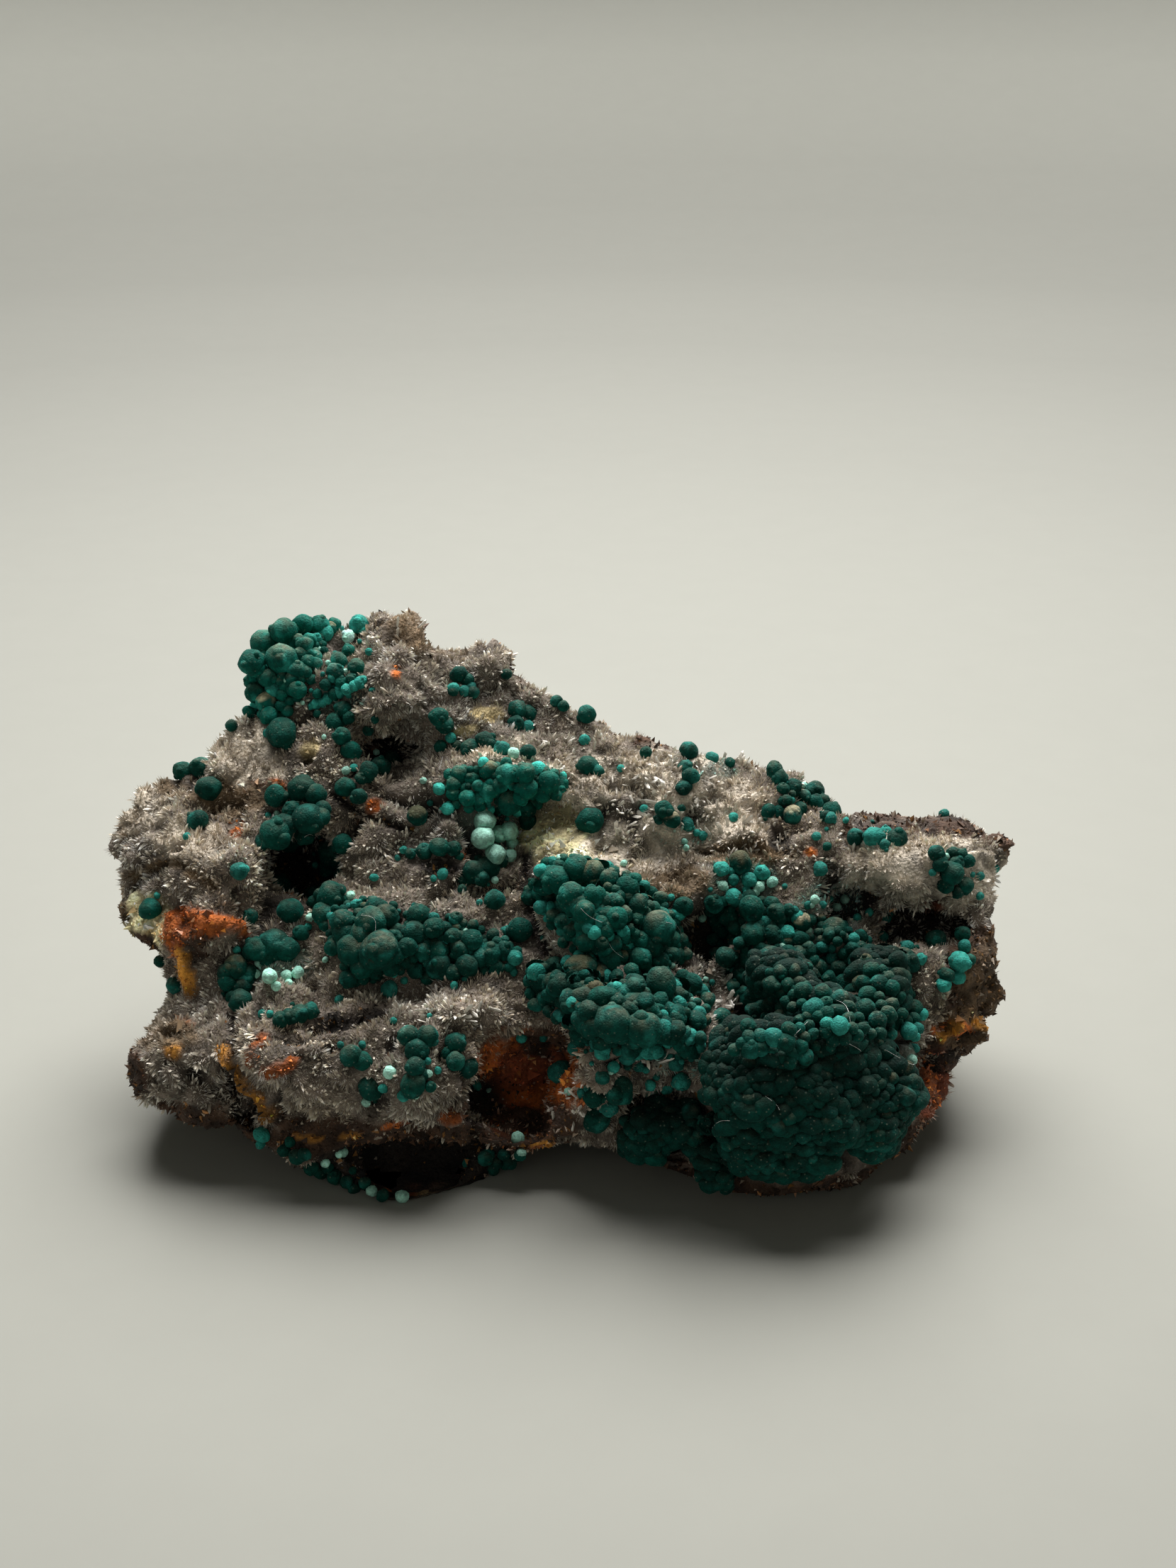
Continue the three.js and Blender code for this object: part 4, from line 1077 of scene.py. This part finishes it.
def add_bed(parts, node, ground, rng):
    """Adds a growth's own solid, drawn in, as a bed that is crowded with balls where it shows."""
    values = settings("balls")
    drawn_in = values.bed_depth / MM
    vertices, normals, triangles = smooth_copy(node, BED_GRAIN * MM, values.bed_smoothing, drawn_in)
    vertices = vertices + normals * (noise(vertices, 4.2, 53) * values.bed_lumps / MM)[:, None]
    parts["triangles"].append(triangles)
    parts["vertices"].append(vertices)
    # The bed is tinted as a deep green ball, painted shade on its top included, at half the lightness.
    parts["tints"].append(paint_ball(vertices, normals, "k", rng) * 0.5)
    parts["count"] += len(vertices)
    least, most = BEDDED[node]
    deep = node == "apron_crust"
    evenly = np.ones(len(vertices))
    kept = np.empty((0, 4))
    for share in BED_ROUNDS:
        places, leans = sample_surface(vertices, normals, triangles, evenly, BED_THROWS, rng)
        for place, lean in zip(places, leans):
            radius = least + (most - least) * share * rng.random()
            apart = np.linalg.norm(kept[:, :3] - place, axis=1)
            if np.all(apart > (kept[:, 3] + radius) * BED_CROWDING) and stands_out(ground, place):
                kept = np.vstack([kept, [*place, radius]])
                finish = rng.choice(["k" if deep else "", "d", "o"], p=BED_SHARES)
                centre = place + lean * radius * (rng.uniform(*BED_STAND) - APRON_SINK * deep)
                along = unit(np.cross(lean, np.cross(ACROSS, lean)) + rng.normal(size=3) * 0.3)
                roll = (along, rng.uniform(*BED_ROLLS))
                add_ball(parts, centre, radius, finish, rng, (lean, OPEN_FOOT["bud"]), roll)
                # Painted shade: on the apron, a ball is darker the more its part of the bed faces up, so
                # the terrace's lit top is shaded.
                parts["tints"][-1] *= 1 - 0.5 * deep * max(lean[2], 0.0)
    return BVHTree.FromPolygons(vertices.tolist(), triangles.tolist())


def nearest_seat(trees, pixel, reach):
    """The seat that is nearest to the eye among several surfaces."""
    seats = []
    for tree in trees:
        place, normal, _, distance = tree.ray_cast(Vector(EYE), Vector(sight(pixel)))
        if place is not None:
            seats.append((distance, np.array(place), np.array(normal)))
    if not seats:
        return seat(trees[0], pixel, reach)
    return min(seats, key=lambda found: found[0])[1:]


def place_ball(parts, trees, entry, rng, buds, reach=1.2):
    """Sets one ball of the tables down on the surface, with some buds on it."""
    finish = entry[3] if len(entry) > 3 else ""
    place, normal = nearest_seat(trees, entry[:2], entry[2] * reach)
    scale = np.linalg.norm(place - EYE) / SIGHT_DISTANCE
    radius = entry[2] / PIXELS_PER_MM * scale
    towards = unit(EYE - place)
    if finish == "m" and entry[2] > LARGE_MINT:
        centre = place + towards * (radius + MINT_LIFT)
        add_ball(parts, centre, radius, finish, rng, (towards, OPEN_FOOT["mint"]), (towards, MINT_ROLL))
        return
    line, half_width, fill = SADDLE
    lift = fill * float(np.clip(1.2 - seam(np.array([entry[:2]]), line, half_width), 0, 1)[0])
    stand = MINT_STAND if finish == "m" else BALL_STAND
    centre = place + towards * (radius * stand + lift)
    add_ball(parts, centre, radius, finish, rng, (unit(normal + towards), OPEN_FOOT["ball"]))
    for _ in range(buds):
        away = unit(rng.normal(size=3) + OUT * 0.35)
        size = radius * rng.uniform(*BUD_SIZES)
        bud = centre + away * (radius - size * 0.5)
        add_ball(parts, bud, size, finish, rng, (away, OPEN_FOOT["bud"]))


def green_material():
    """The velvety green of the balls, made once."""
    material = bpy.data.materials.get("Green balls")
    if material is not None:
        return material
    material, tree, shader = new_material("Green balls", roughness=0.7)
    set_sockets(shader, Specular_IOR_Level=0.09)
    set_sockets(shader, Sheen_Weight=0.02, Sheen_Roughness=0.45, Sheen_Tint=SHEEN_COLOUR)
    place = tinted(tree, shader, size=0.5, least=0.6, most=1.5)
    bumped(tree, shader, place, size=0.2, strength=0.55, depth=0.12)
    coloured = shader.inputs["Base Color"].links[0].from_socket
    specks = add_node(tree, "ShaderNodeTexVoronoi", Scale=1 / (0.55 * MM), Randomness=1.0)
    dusted = add_node(tree, "ShaderNodeMapRange", From_Min=0.08, From_Max=0.2, To_Min=0.28, To_Max=0.0)
    mixed = tree.nodes.new("ShaderNodeMix")
    mixed.data_type = "RGBA"
    set_sockets(mixed, B=SPECK_COLOUR)
    join(tree, place, "Object", specks, "Vector")
    join(tree, specks, "Distance", dusted, "Value")
    join(tree, dusted, "Result", mixed, "Factor")
    tree.links.new(coloured, mixed.inputs["A"])
    join(tree, mixed, "Result", shader, "Base Color")
    return material


class SPECIMEN_OT_growths(bpy.types.Operator):
    """Set the balls of every green growth down on the gossan"""

    bl_idname = "specimen.growths"
    bl_label = "Green growths"

    def execute(self, context):
        values = settings("balls")
        ground = surface_tree(["gossan"])
        for number, node in enumerate(GREEN_NODES):
            rng = np.random.default_rng(SEEDS["growths"] + number)
            parts = empty_parts()
            trees = [ground]
            if node in BEDDED:
                trees.append(add_bed(parts, node, ground, rng))
            listed = GROWTHS.get(node, [])
            buds = values.satellites if len(listed) > 2 else 1
            for entry in listed:
                place_ball(parts, trees, entry, rng, buds)
            if node in CRUSTS:
                for entry in crowd(*CRUSTS[node], rng):
                    place_ball(parts, trees, entry, rng, 1 if entry[2] > CRUST_BUDS else 0)
            vertices, triangles, tints = gathered(parts)
            tints = np.clip(tints * LIGHTNESS.get(node, 1.0), 0.001, 0.9)
            slot = "mint" if node == "mint_ball" else "green"
            new_piece(node + "_balls", vertices, triangles, tints, green_material(), [node], slot)
        return {"FINISHED"}


class SPECIMEN_OT_beads(bpy.types.Operator):
    """Set the single small balls down between the growths"""

    bl_idname = "specimen.beads"
    bl_label = "Beads"

    def execute(self, context):
        rng = np.random.default_rng(SEEDS["beads"])
        ground = surface_tree(["gossan"])
        parts = empty_parts()
        for entry in BEADS:
            place_ball(parts, [ground], entry, rng, 2 if entry[2] > BEAD_BUDS else 0, reach=0.5)
        for balls in GROWTHS.values():
            for x, y, radius, *_ in balls:
                if rng.random() < BEAD_CHANCE:
                    turn = rng.uniform(0, 2 * math.pi)
                    away = radius + rng.uniform(*BEAD_GAP)
                    here = (x + away * math.cos(turn), y + away * math.sin(turn))
                    finish = rng.choice(BEAD_FINISHES)
                    entry = (*here, rng.uniform(*BEAD_RADII), finish)
                    place_ball(parts, [ground], entry, rng, 0, reach=0.3)
        new_piece("beads", *gathered(parts), green_material(), [], "green")
        return {"FINISHED"}


def sample_surface(vertices, normals, triangles, weights, count, rng):
    """Random places on a surface, with normals, thicker where the weights are higher."""
    corners = vertices[triangles]
    doubled = np.cross(corners[:, 1] - corners[:, 0], corners[:, 2] - corners[:, 0])
    areas = np.linalg.norm(doubled, axis=1) / 2
    share = np.cumsum(areas * weights[triangles].mean(axis=1))
    chosen = np.searchsorted(share, rng.random(count) * share[-1])
    mix = rng.random((count, 2))
    flip = mix.sum(axis=1) > 1
    mix[flip] = 1 - mix[flip]
    mix = np.stack([1 - mix.sum(axis=1), mix[:, 0], mix[:, 1]], axis=1)
    places = (corners[chosen] * mix[:, :, None]).sum(axis=1)
    leans = unit((normals[triangles[chosen]] * mix[:, :, None]).sum(axis=1))
    return places, leans


def point_tree(points):
    """A tree that finds the nearest of many points."""
    tree = KDTree(len(points))
    for number, point in enumerate(points):
        tree.insert(Vector(point), number)
    tree.balance()
    return tree


def clear_of_balls(places, room):
    """Which places lie outside the balls that are set down."""
    tree = point_tree([centre for centre, _ in set_down])
    clear = np.ones(len(places), dtype=bool)
    for number, place in enumerate(places):
        for _, found, distance in tree.find_n(Vector(place), 4):
            if distance < set_down[found][1] + room:
                clear[number] = False
                break
    return clear


def rings(leans, aside, sides, flat=1.0):
    """Directions in a ring round each lean, starting from the one aside."""
    beside = np.cross(leans, aside)
    turns = np.arange(sides) * 2 * math.pi / sides
    across = np.cos(turns)[:, None] * aside[:, None]
    return across + (np.sin(turns) * flat)[:, None] * beside[:, None]


def turned(leans, rng):
    """A random direction square to each lean."""
    return unit(np.cross(leans, unit(rng.normal(size=leans.shape))))


def repeated(pattern, count, step):
    """The triangles of many like crystals, each with a number of vertices of its own."""
    return (np.array(pattern)[None] + np.arange(count)[:, None, None] * step).reshape(-1, 3)


def spikes(feet, leans, lengths, widths, rng):
    """Fine three-sided needles as vertices, triangles and each vertex's height from 0 to 1."""
    count = len(feet)
    ring = rings(leans, turned(leans, rng), sides=3)
    foot_ring = feet[:, None] + ring * (widths / 2)[:, None, None]
    tips = (feet + leans * lengths[:, None])[:, None]
    vertices = np.concatenate([foot_ring, tips], axis=1).reshape(-1, 3)
    triangles = repeated([[0, 1, 3], [1, 2, 3], [2, 0, 3]], count, 4)
    return vertices, triangles, np.tile([0.0, 0.0, 0.0, 1.0], count)


def prisms(feet, leans, lengths, widths, rng, tip_share=0.3, sides=3, flat=1.0):
    """Pointed prisms as vertices, triangles and each vertex's height from 0 to 1."""
    count = len(feet)
    aside = turned(leans, rng)
    ring = rings(leans, aside, sides, flat) * (widths / 2)[:, None, None]
    stem = leans * (lengths * (1 - tip_share))[:, None]
    foot_ring = feet[:, None] + ring * 0.8
    top_ring = feet[:, None] + stem[:, None] + ring
    tips = (feet + leans * lengths[:, None] + aside * (widths * 0.15)[:, None])[:, None]
    vertices = np.concatenate([foot_ring, top_ring, tips], axis=1).reshape(-1, 3)
    pattern = []
    for side in range(sides):
        after = (side + 1) % sides
        pattern.append([side, after, sides + after])
        pattern.append([side, sides + after, sides + side])
        pattern.append([sides + side, sides + after, 2 * sides])
    heights = np.concatenate([np.zeros(sides), np.full(sides, 1 - tip_share), [1.0]])
    return vertices, repeated(pattern, count, 2 * sides + 1), np.tile(heights, count)


def crystal_material(name, roughness, clearness):
    """Clear grey crystal that is coloured by its tints."""
    material, tree, shader = new_material(name, roughness)
    tinted(tree, shader, size=0.9, least=0.82, most=1.18)
    set_sockets(shader, IOR=CRYSTAL_IOR, Transmission_Weight=clearness)
    return material


def needle_weights(vertices, normals):
    """How thickly needles grow at each vertex of the gossan."""
    covered = np.clip(1 - bare_share(vertices, normals), 0, 1) ** 1.5
    weights = covered * (1 - 0.9 * crevices(vertices))
    pixels = pixels_of(vertices)
    for corners in [APRON_OUTLINE] + [crust[2] for crust in CRUSTS.values()]:
        weights *= ~((normals @ OUT > -0.2) & inside(pixels, corners))
    weights *= np.where(normals @ OUT > -0.1, 1.0, BACK_NEEDLES) * (vertices[:, 2] > NEEDLE_FLOOR)
    return weights + STRAY_NEEDLES * (vertices[:, 2] > STRAY_FLOOR)


def paint_needles(places, ground, reach, heights, rng):
    """The tints of needles, by each vertex's height and by the ground that each needle stands on, with
    painted shade at the roots, at the edges of tufts and in the creases between mounds, and painted light
    at the tips and on the pale ground.
    """
    values = settings("druse")
    shade = rng.uniform(0.7, 1.15, len(places)) * (1 + 0.28 * noise(places, 4.5, 71))
    # Painted shade towards the edge of each tuft, and painted light at its heart.
    shade *= np.clip(1.3 - reach * 0.5, 0.5, 1.2)
    # Painted shade in the creases between the mounds, and painted light on their tops.
    shade *= np.clip(0.5 + np.abs(noise(places, MOUND_SIZE, 7)) * 2.4, 0.5, 1.15)
    warmth = noise(places, 7.0, 72) * 0.07
    cast = np.stack([1 + warmth, np.ones(len(places)), 1 - warmth], axis=1) * shade[:, None]
    # Painted shade at the roots, down among the needles, and painted light at the tips.
    root = np.array(values.root)
    tints = root + (np.array(values.tip) - root) * heights[:, None] ** 1.2
    share = len(heights) // len(places)
    tints *= np.repeat(cast, share, axis=0)
    chance = rng.random(len(places))
    # The needles take the ground's stains and the pale ground's painted light, but not the dark ground's
    # painted shade.
    for kind, weight in ground_weights(places, ground):
        if kind == "frost":
            weight = weight * (chance < 0.3) * 1.5
        if kind == "pale":
            weight = weight * chance
        if kind not in ("gossan", "dark"):
            stained = np.repeat(np.minimum(weight * 0.6, 1), share)
            blend(tints, np.array(GROUND_COLOURS[kind]) * 1.15, stained)
    return np.clip(tints, 0, 0.95)


class SPECIMEN_OT_druse(bpy.types.Operator):
    """Grow the fur of grey needles on the gossan"""

    bl_idname = "specimen.druse"
    bl_label = "Druse"

    def execute(self, context):
        values = settings("druse")
        rng = np.random.default_rng(SEEDS["druse"])
        vertices, normals, triangles = mesh_arrays(bpy.data.objects["gossan"].data)
        weights = needle_weights(vertices, normals)
        hearts, heart_leans = sample_surface(vertices, normals, triangles, weights, values.tufts, rng)
        heart_leans = unit(heart_leans + rng.normal(size=heart_leans.shape) * 0.3)
        tree = point_tree(hearts)
        material = crystal_material("Druse", roughness=0.3, clearness=0.12)
        fields = [
            ("druse_1", values.fine_count, 1.0, spikes),
            ("druse_2", values.fine_count, 1.0, spikes),
            ("druse_3", values.coarse_count, 2.2, prisms),
        ]
        for name, count, size, build in fields:
            thrown = int(count * NEEDLE_THROWS)
            places, ground = sample_surface(vertices, normals, triangles, weights, thrown, rng)
            kept = clear_of_balls(places, NEEDLE_ROOM)
            places = places[kept][:count]
            ground = ground[kept][:count]
            near = np.array([tree.find(Vector(place))[1] for place in places])
            away = places - hearts[near]
            fanned = heart_leans[near] * 0.7 + ground * 0.5 + away * 0.9
            leans = unit(fanned + rng.normal(size=places.shape) * 0.22)
            reach = np.linalg.norm(away, axis=1)
            lengths = rng.uniform(0.6, 1.3, len(places)) * np.clip(1.35 - reach * 0.75, 0.35, 1.3)
            lengths = lengths * values.length / MM
            widths = rng.uniform(0.6, 1.4, len(places)) * values.width / MM * size
            feet = places - leans * NEEDLE_SINK
            made, faces, heights = build(feet, leans, lengths * (0.75 + size / 4), widths, rng)
            tints = paint_needles(places, ground, reach, heights, rng)
            new_piece(name, made, faces, tints, material, [], "druse", smooth=False)
        return {"FINISHED"}


def paint_crumbs(places, ground, rng):
    """One tint for each crumb, like the ground that it lies on, with some ochre and some pale ones."""
    tints = np.tile(np.array(GROUND_COLOURS["gossan"]), (len(places), 1))
    # Crumbs take the colour of their ground, the dark ground's painted shade and the pale ground's
    # painted light included.
    for kind, weight in ground_weights(places, ground):
        blend(tints, GROUND_COLOURS[kind], weight)
    tints *= rng.lognormal(0.1, 0.7, len(places))[:, None] * np.array([1.0, 0.97, 0.92])
    chance = rng.random(len(places))[:, None]
    tints = np.where(chance < 0.10, tints + np.array(GROUND_COLOURS["ochre"]) * 0.4, tints)
    tints = np.where(chance > 0.93, tints + np.array(GROUND_COLOURS["pale"]) * 0.5, tints)
    return np.clip(tints, 0.002, 0.9)


class SPECIMEN_OT_crumbs(bpy.types.Operator):
    """Strew the bare gossan with crumbs of itself"""

    bl_idname = "specimen.crumbs"
    bl_label = "Gossan crumbs"

    def execute(self, context):
        values = settings("gossan")
        rng = np.random.default_rng(SEEDS["crumbs"])
        vertices, normals, triangles = mesh_arrays(bpy.data.objects["gossan"].data)
        weights = bare_share(vertices, normals) ** 2 * (vertices[:, 2] > CRUMB_FLOOR)
        places, ground = sample_surface(vertices, normals, triangles, weights, values.crumb_count, rng)
        kept = clear_of_balls(places, CRUMB_ROOM)
        places = places[kept]
        ground = ground[kept]
        leans = unit(ground + rng.normal(size=places.shape) * 0.6)
        widths = rng.lognormal(-0.1, 0.4, len(places)) * values.crumb / MM
        feet = places - leans * widths[:, None] * 0.3
        lengths = widths * rng.uniform(0.6, 1.3, len(places))
        made, faces, _ = spikes(feet, leans, lengths, widths, rng)
        tints = np.repeat(paint_crumbs(places, ground, rng), len(made) // len(places), axis=0)
        material, tree, shader = new_material("Crumbs", roughness=0.7)
        tinted(tree, shader, size=0.6, least=0.7, most=1.3)
        new_piece("crumbs", made, faces, tints, material, [], "druse", smooth=False)
        return {"FINISHED"}


class SPECIMEN_OT_blades(bpy.types.Operator):
    """Stand the coarse clear blades on the gossan"""

    bl_idname = "specimen.blades"
    bl_label = "Clear blades"

    def execute(self, context):
        values = settings("blades")
        rng = np.random.default_rng(SEEDS["blades"])
        ground = surface_tree(["gossan"])
        feet = []
        leans = []
        for x, y, half_width, half_height, count in BLADE_BEDS:
            fan = unit(rng.normal(size=3) + OUT + UP)
            for _ in range(count):
                turn = rng.uniform(0, 2 * math.pi)
                out = math.sqrt(rng.random())
                pixel = (x + half_width * out * math.cos(turn), y + half_height * out * math.sin(turn))
                place, normal = seat(ground, pixel)
                feet.append(place)
                leans.append(unit(normal + fan * 0.4 + rng.normal(size=3) * 0.55))
        feet = np.array(feet)
        leans = np.array(leans)
        kept = clear_of_balls(feet, 0.0)
        feet = feet[kept]
        leans = leans[kept]
        lengths = rng.uniform(0.6, 1.35, len(feet)) * values.length / MM
        widths = rng.uniform(0.6, 1.3, len(feet)) * values.width / MM
        sunk = feet - leans * BLADE_SINK
        made, faces, heights = prisms(
            sunk, leans, lengths, widths, rng, tip_share=0.18, sides=6, flat=0.45
        )
        tints = np.tile(BLADE_COLOUR, (len(made), 1)) * (0.6 + 0.4 * heights)[:, None]
        material = crystal_material("Clear blades", roughness=0.15, clearness=0.12)
        new_piece("clear_blades", made, faces, tints, material, [], "druse", smooth=False)
        return {"FINISHED"}


def fibre_line(top, start, end, bow):
    """The places along a fibre that lies over the balls."""
    line = []
    for step in np.linspace(0, 1, FIBRE_STEPS + 1):
        straight = np.array(start) * (1 - step) + np.array(end) * step
        pixel = straight + bow * math.sin(step * math.pi)
        place, _ = seat(top, pixel)
        line.append(place - sight(pixel) * FIBRE_LIFT)
    line = np.array(line)
    line[1:-1] = (line[:-2] + line[1:-1] * 2 + line[2:]) / 4
    return line


class SPECIMEN_OT_dust(bpy.types.Operator):
    """Lay the loose fibres of dust over the balls"""

    bl_idname = "specimen.dust"
    bl_label = "Dust fibres"

    def execute(self, context):
        values = settings("dust")
        rng = np.random.default_rng(SEEDS["dust"])
        top = surface_tree(["gossan"] + [node + "_balls" for node in GREEN_NODES])
        vertices = []
        faces = []
        for start, end in DUST_FIBRES:
            line = fibre_line(top, start, end, rng.normal(size=2) * FIBRE_BOW)
            steps = np.arange(FIBRE_STEPS + 1)
            ahead = unit(line[np.minimum(steps + 1, FIBRE_STEPS)] - line[np.maximum(steps - 1, 0)])
            ring = rings(ahead, unit(np.cross(ahead, OUT)), sides=3)
            first = len(vertices) * len(steps) * 3
            vertices.append((line[:, None] + ring * values.thickness / MM / 2).reshape(-1, 3))
            for step in range(FIBRE_STEPS):
                for side in range(3):
                    low = first + step * 3
                    after = (side + 1) % 3
                    faces.append([low + side, low + after, low + 3 + after])
                    faces.append([low + side, low + 3 + after, low + 3 + side])
        made = np.concatenate(vertices)
        tints = np.tile(np.array(values.colour), (len(made), 1))
        material, tree, shader = new_material("Dust", roughness=0.7)
        tinted(tree, shader, size=1.0, least=0.8, most=1.1)
        new_piece("dust_fibres", made, faces, tints, material, [], "druse")
        return {"FINISHED"}


def new_floor(colour):
    """A round floor that turns up into a wall all round."""
    profile = [(reach, 0.0) for reach in (*FLAT_REACHES, CURVE_START)]
    for turn in np.linspace(0.1, math.pi / 2, CURVE_STEPS):
        reach = CURVE_START + CURVE_RADIUS * math.sin(turn)
        profile.append((reach, CURVE_RADIUS * (1 - math.cos(turn))))
    profile.append((CURVE_START + CURVE_RADIUS, WALL_TOP))
    vertices = [(0.0, 0.0, 0.0)]
    shades = [1.0]
    for reach, height in profile:
        shades += [np.interp(reach, SHADE_REACH, FLOOR_SHADE)] * FLOOR_SIDES
        for turn in np.arange(FLOOR_SIDES) * 2 * math.pi / FLOOR_SIDES:
            vertices.append((reach * math.cos(turn), reach * math.sin(turn), height))
    faces = []
    for side in range(FLOOR_SIDES):
        after = (side + 1) % FLOOR_SIDES
        faces.append((0, 1 + side, 1 + after))
        for ring in range(len(profile) - 1):
            low = 1 + ring * FLOOR_SIDES
            high = low + FLOOR_SIDES
            faces.append((low + side, high + side, high + after, low + after))
    mesh = bpy.data.meshes.new("floor")
    mesh.from_pydata(vertices, [], faces)
    # The floor's colour carries the painted shade and light of FLOOR_SHADE.
    tint_mesh(mesh, np.outer(shades, colour))
    mesh.shade_smooth()
    material, tree, shader = new_material("Floor", roughness=0.9)
    tinted(tree, shader, *FLOOR_GRAIN)
    mesh.materials.append(material)
    return add_object("floor", mesh)


def hang_lamp(name, power):
    """Hangs a square lamp that points at its target."""
    place, target, size, colour = LAMPS[name]
    lamp = bpy.data.lights.new(name, "AREA")
    lamp.shape = "SQUARE"
    lamp.size = size
    lamp.energy = power
    lamp.color = colour
    hung = add_object(name, lamp)
    hung.location = place
    hung.rotation_euler = (Vector(target) - Vector(place)).to_track_quat("-Z", "Y").to_euler()


def new_camera(focal_length):
    """The camera at the eye."""
    lens = bpy.data.cameras.new("camera")
    lens.lens = focal_length
    lens.sensor_width = SENSOR_WIDTH
    lens.sensor_fit = "AUTO"
    lens.clip_start = 0.01
    camera = add_object("camera", lens)
    camera.location = EYE * MM
    camera.rotation_euler = (math.pi / 2 - SIGHT_ELEVATION, 0, 0)
    return camera


class SPECIMEN_OT_stage(bpy.types.Operator):
    """Lay the floor, hang the lights and stand the camera"""

    bl_idname = "specimen.stage"
    bl_label = "Stage"

    def execute(self, context):
        values = settings("stage")
        scene = context.scene
        floor = new_floor(values.floor)
        hang_lamp("overhead", values.overhead)
        hang_lamp("fill", values.fill)
        world = bpy.data.worlds.new("Studio")
        world.use_nodes = True
        sky = world.node_tree.nodes["Background"]
        set_sockets(sky, Color=SKY_COLOUR, Strength=values.sky)
        scene.world = world
        scene.camera = new_camera(values.lens)
        scene.view_settings.view_transform = "Standard"
        return {"FINISHED"}


class SPECIMEN_PT_panel(bpy.types.Panel):
    """The specimen's pieces, in the order they are made"""

    bl_idname = "SPECIMEN_PT_panel"
    bl_label = "Hemimorphite specimen"
    bl_space_type = "VIEW_3D"
    bl_region_type = "UI"
    bl_category = "Specimen"

    def draw(self, context):
        for operator in OPERATORS:
            self.layout.operator(operator.bl_idname)


SETTINGS = {
    "gossan": GossanSettings,
    "druse": DruseSettings,
    "balls": BallSettings,
    "blades": BladeSettings,
    "dust": DustSettings,
    "stage": StageSettings,
}
OPERATORS = [
    SPECIMEN_OT_gossan,
    SPECIMEN_OT_growths,
    SPECIMEN_OT_beads,
    SPECIMEN_OT_druse,
    SPECIMEN_OT_crumbs,
    SPECIMEN_OT_blades,
    SPECIMEN_OT_dust,
    SPECIMEN_OT_stage,
]


def register():
    for name, group in SETTINGS.items():
        bpy.utils.register_class(group)
        setattr(bpy.types.Scene, "specimen_" + name, PointerProperty(type=group))
    for operator in OPERATORS:
        bpy.utils.register_class(operator)
    bpy.utils.register_class(SPECIMEN_PT_panel)


def unregister():
    bpy.utils.unregister_class(SPECIMEN_PT_panel)
    for operator in reversed(OPERATORS):
        bpy.utils.unregister_class(operator)
    for name, group in SETTINGS.items():
        delattr(bpy.types.Scene, "specimen_" + name)
        bpy.utils.unregister_class(group)


def main():
    register()
    bpy.ops.specimen.gossan()
    bpy.ops.specimen.growths()
    bpy.ops.specimen.beads()
    bpy.ops.specimen.druse()
    bpy.ops.specimen.crumbs()
    bpy.ops.specimen.blades()
    bpy.ops.specimen.dust()
    bpy.ops.specimen.stage()


if __name__ == "__main__":
    main()
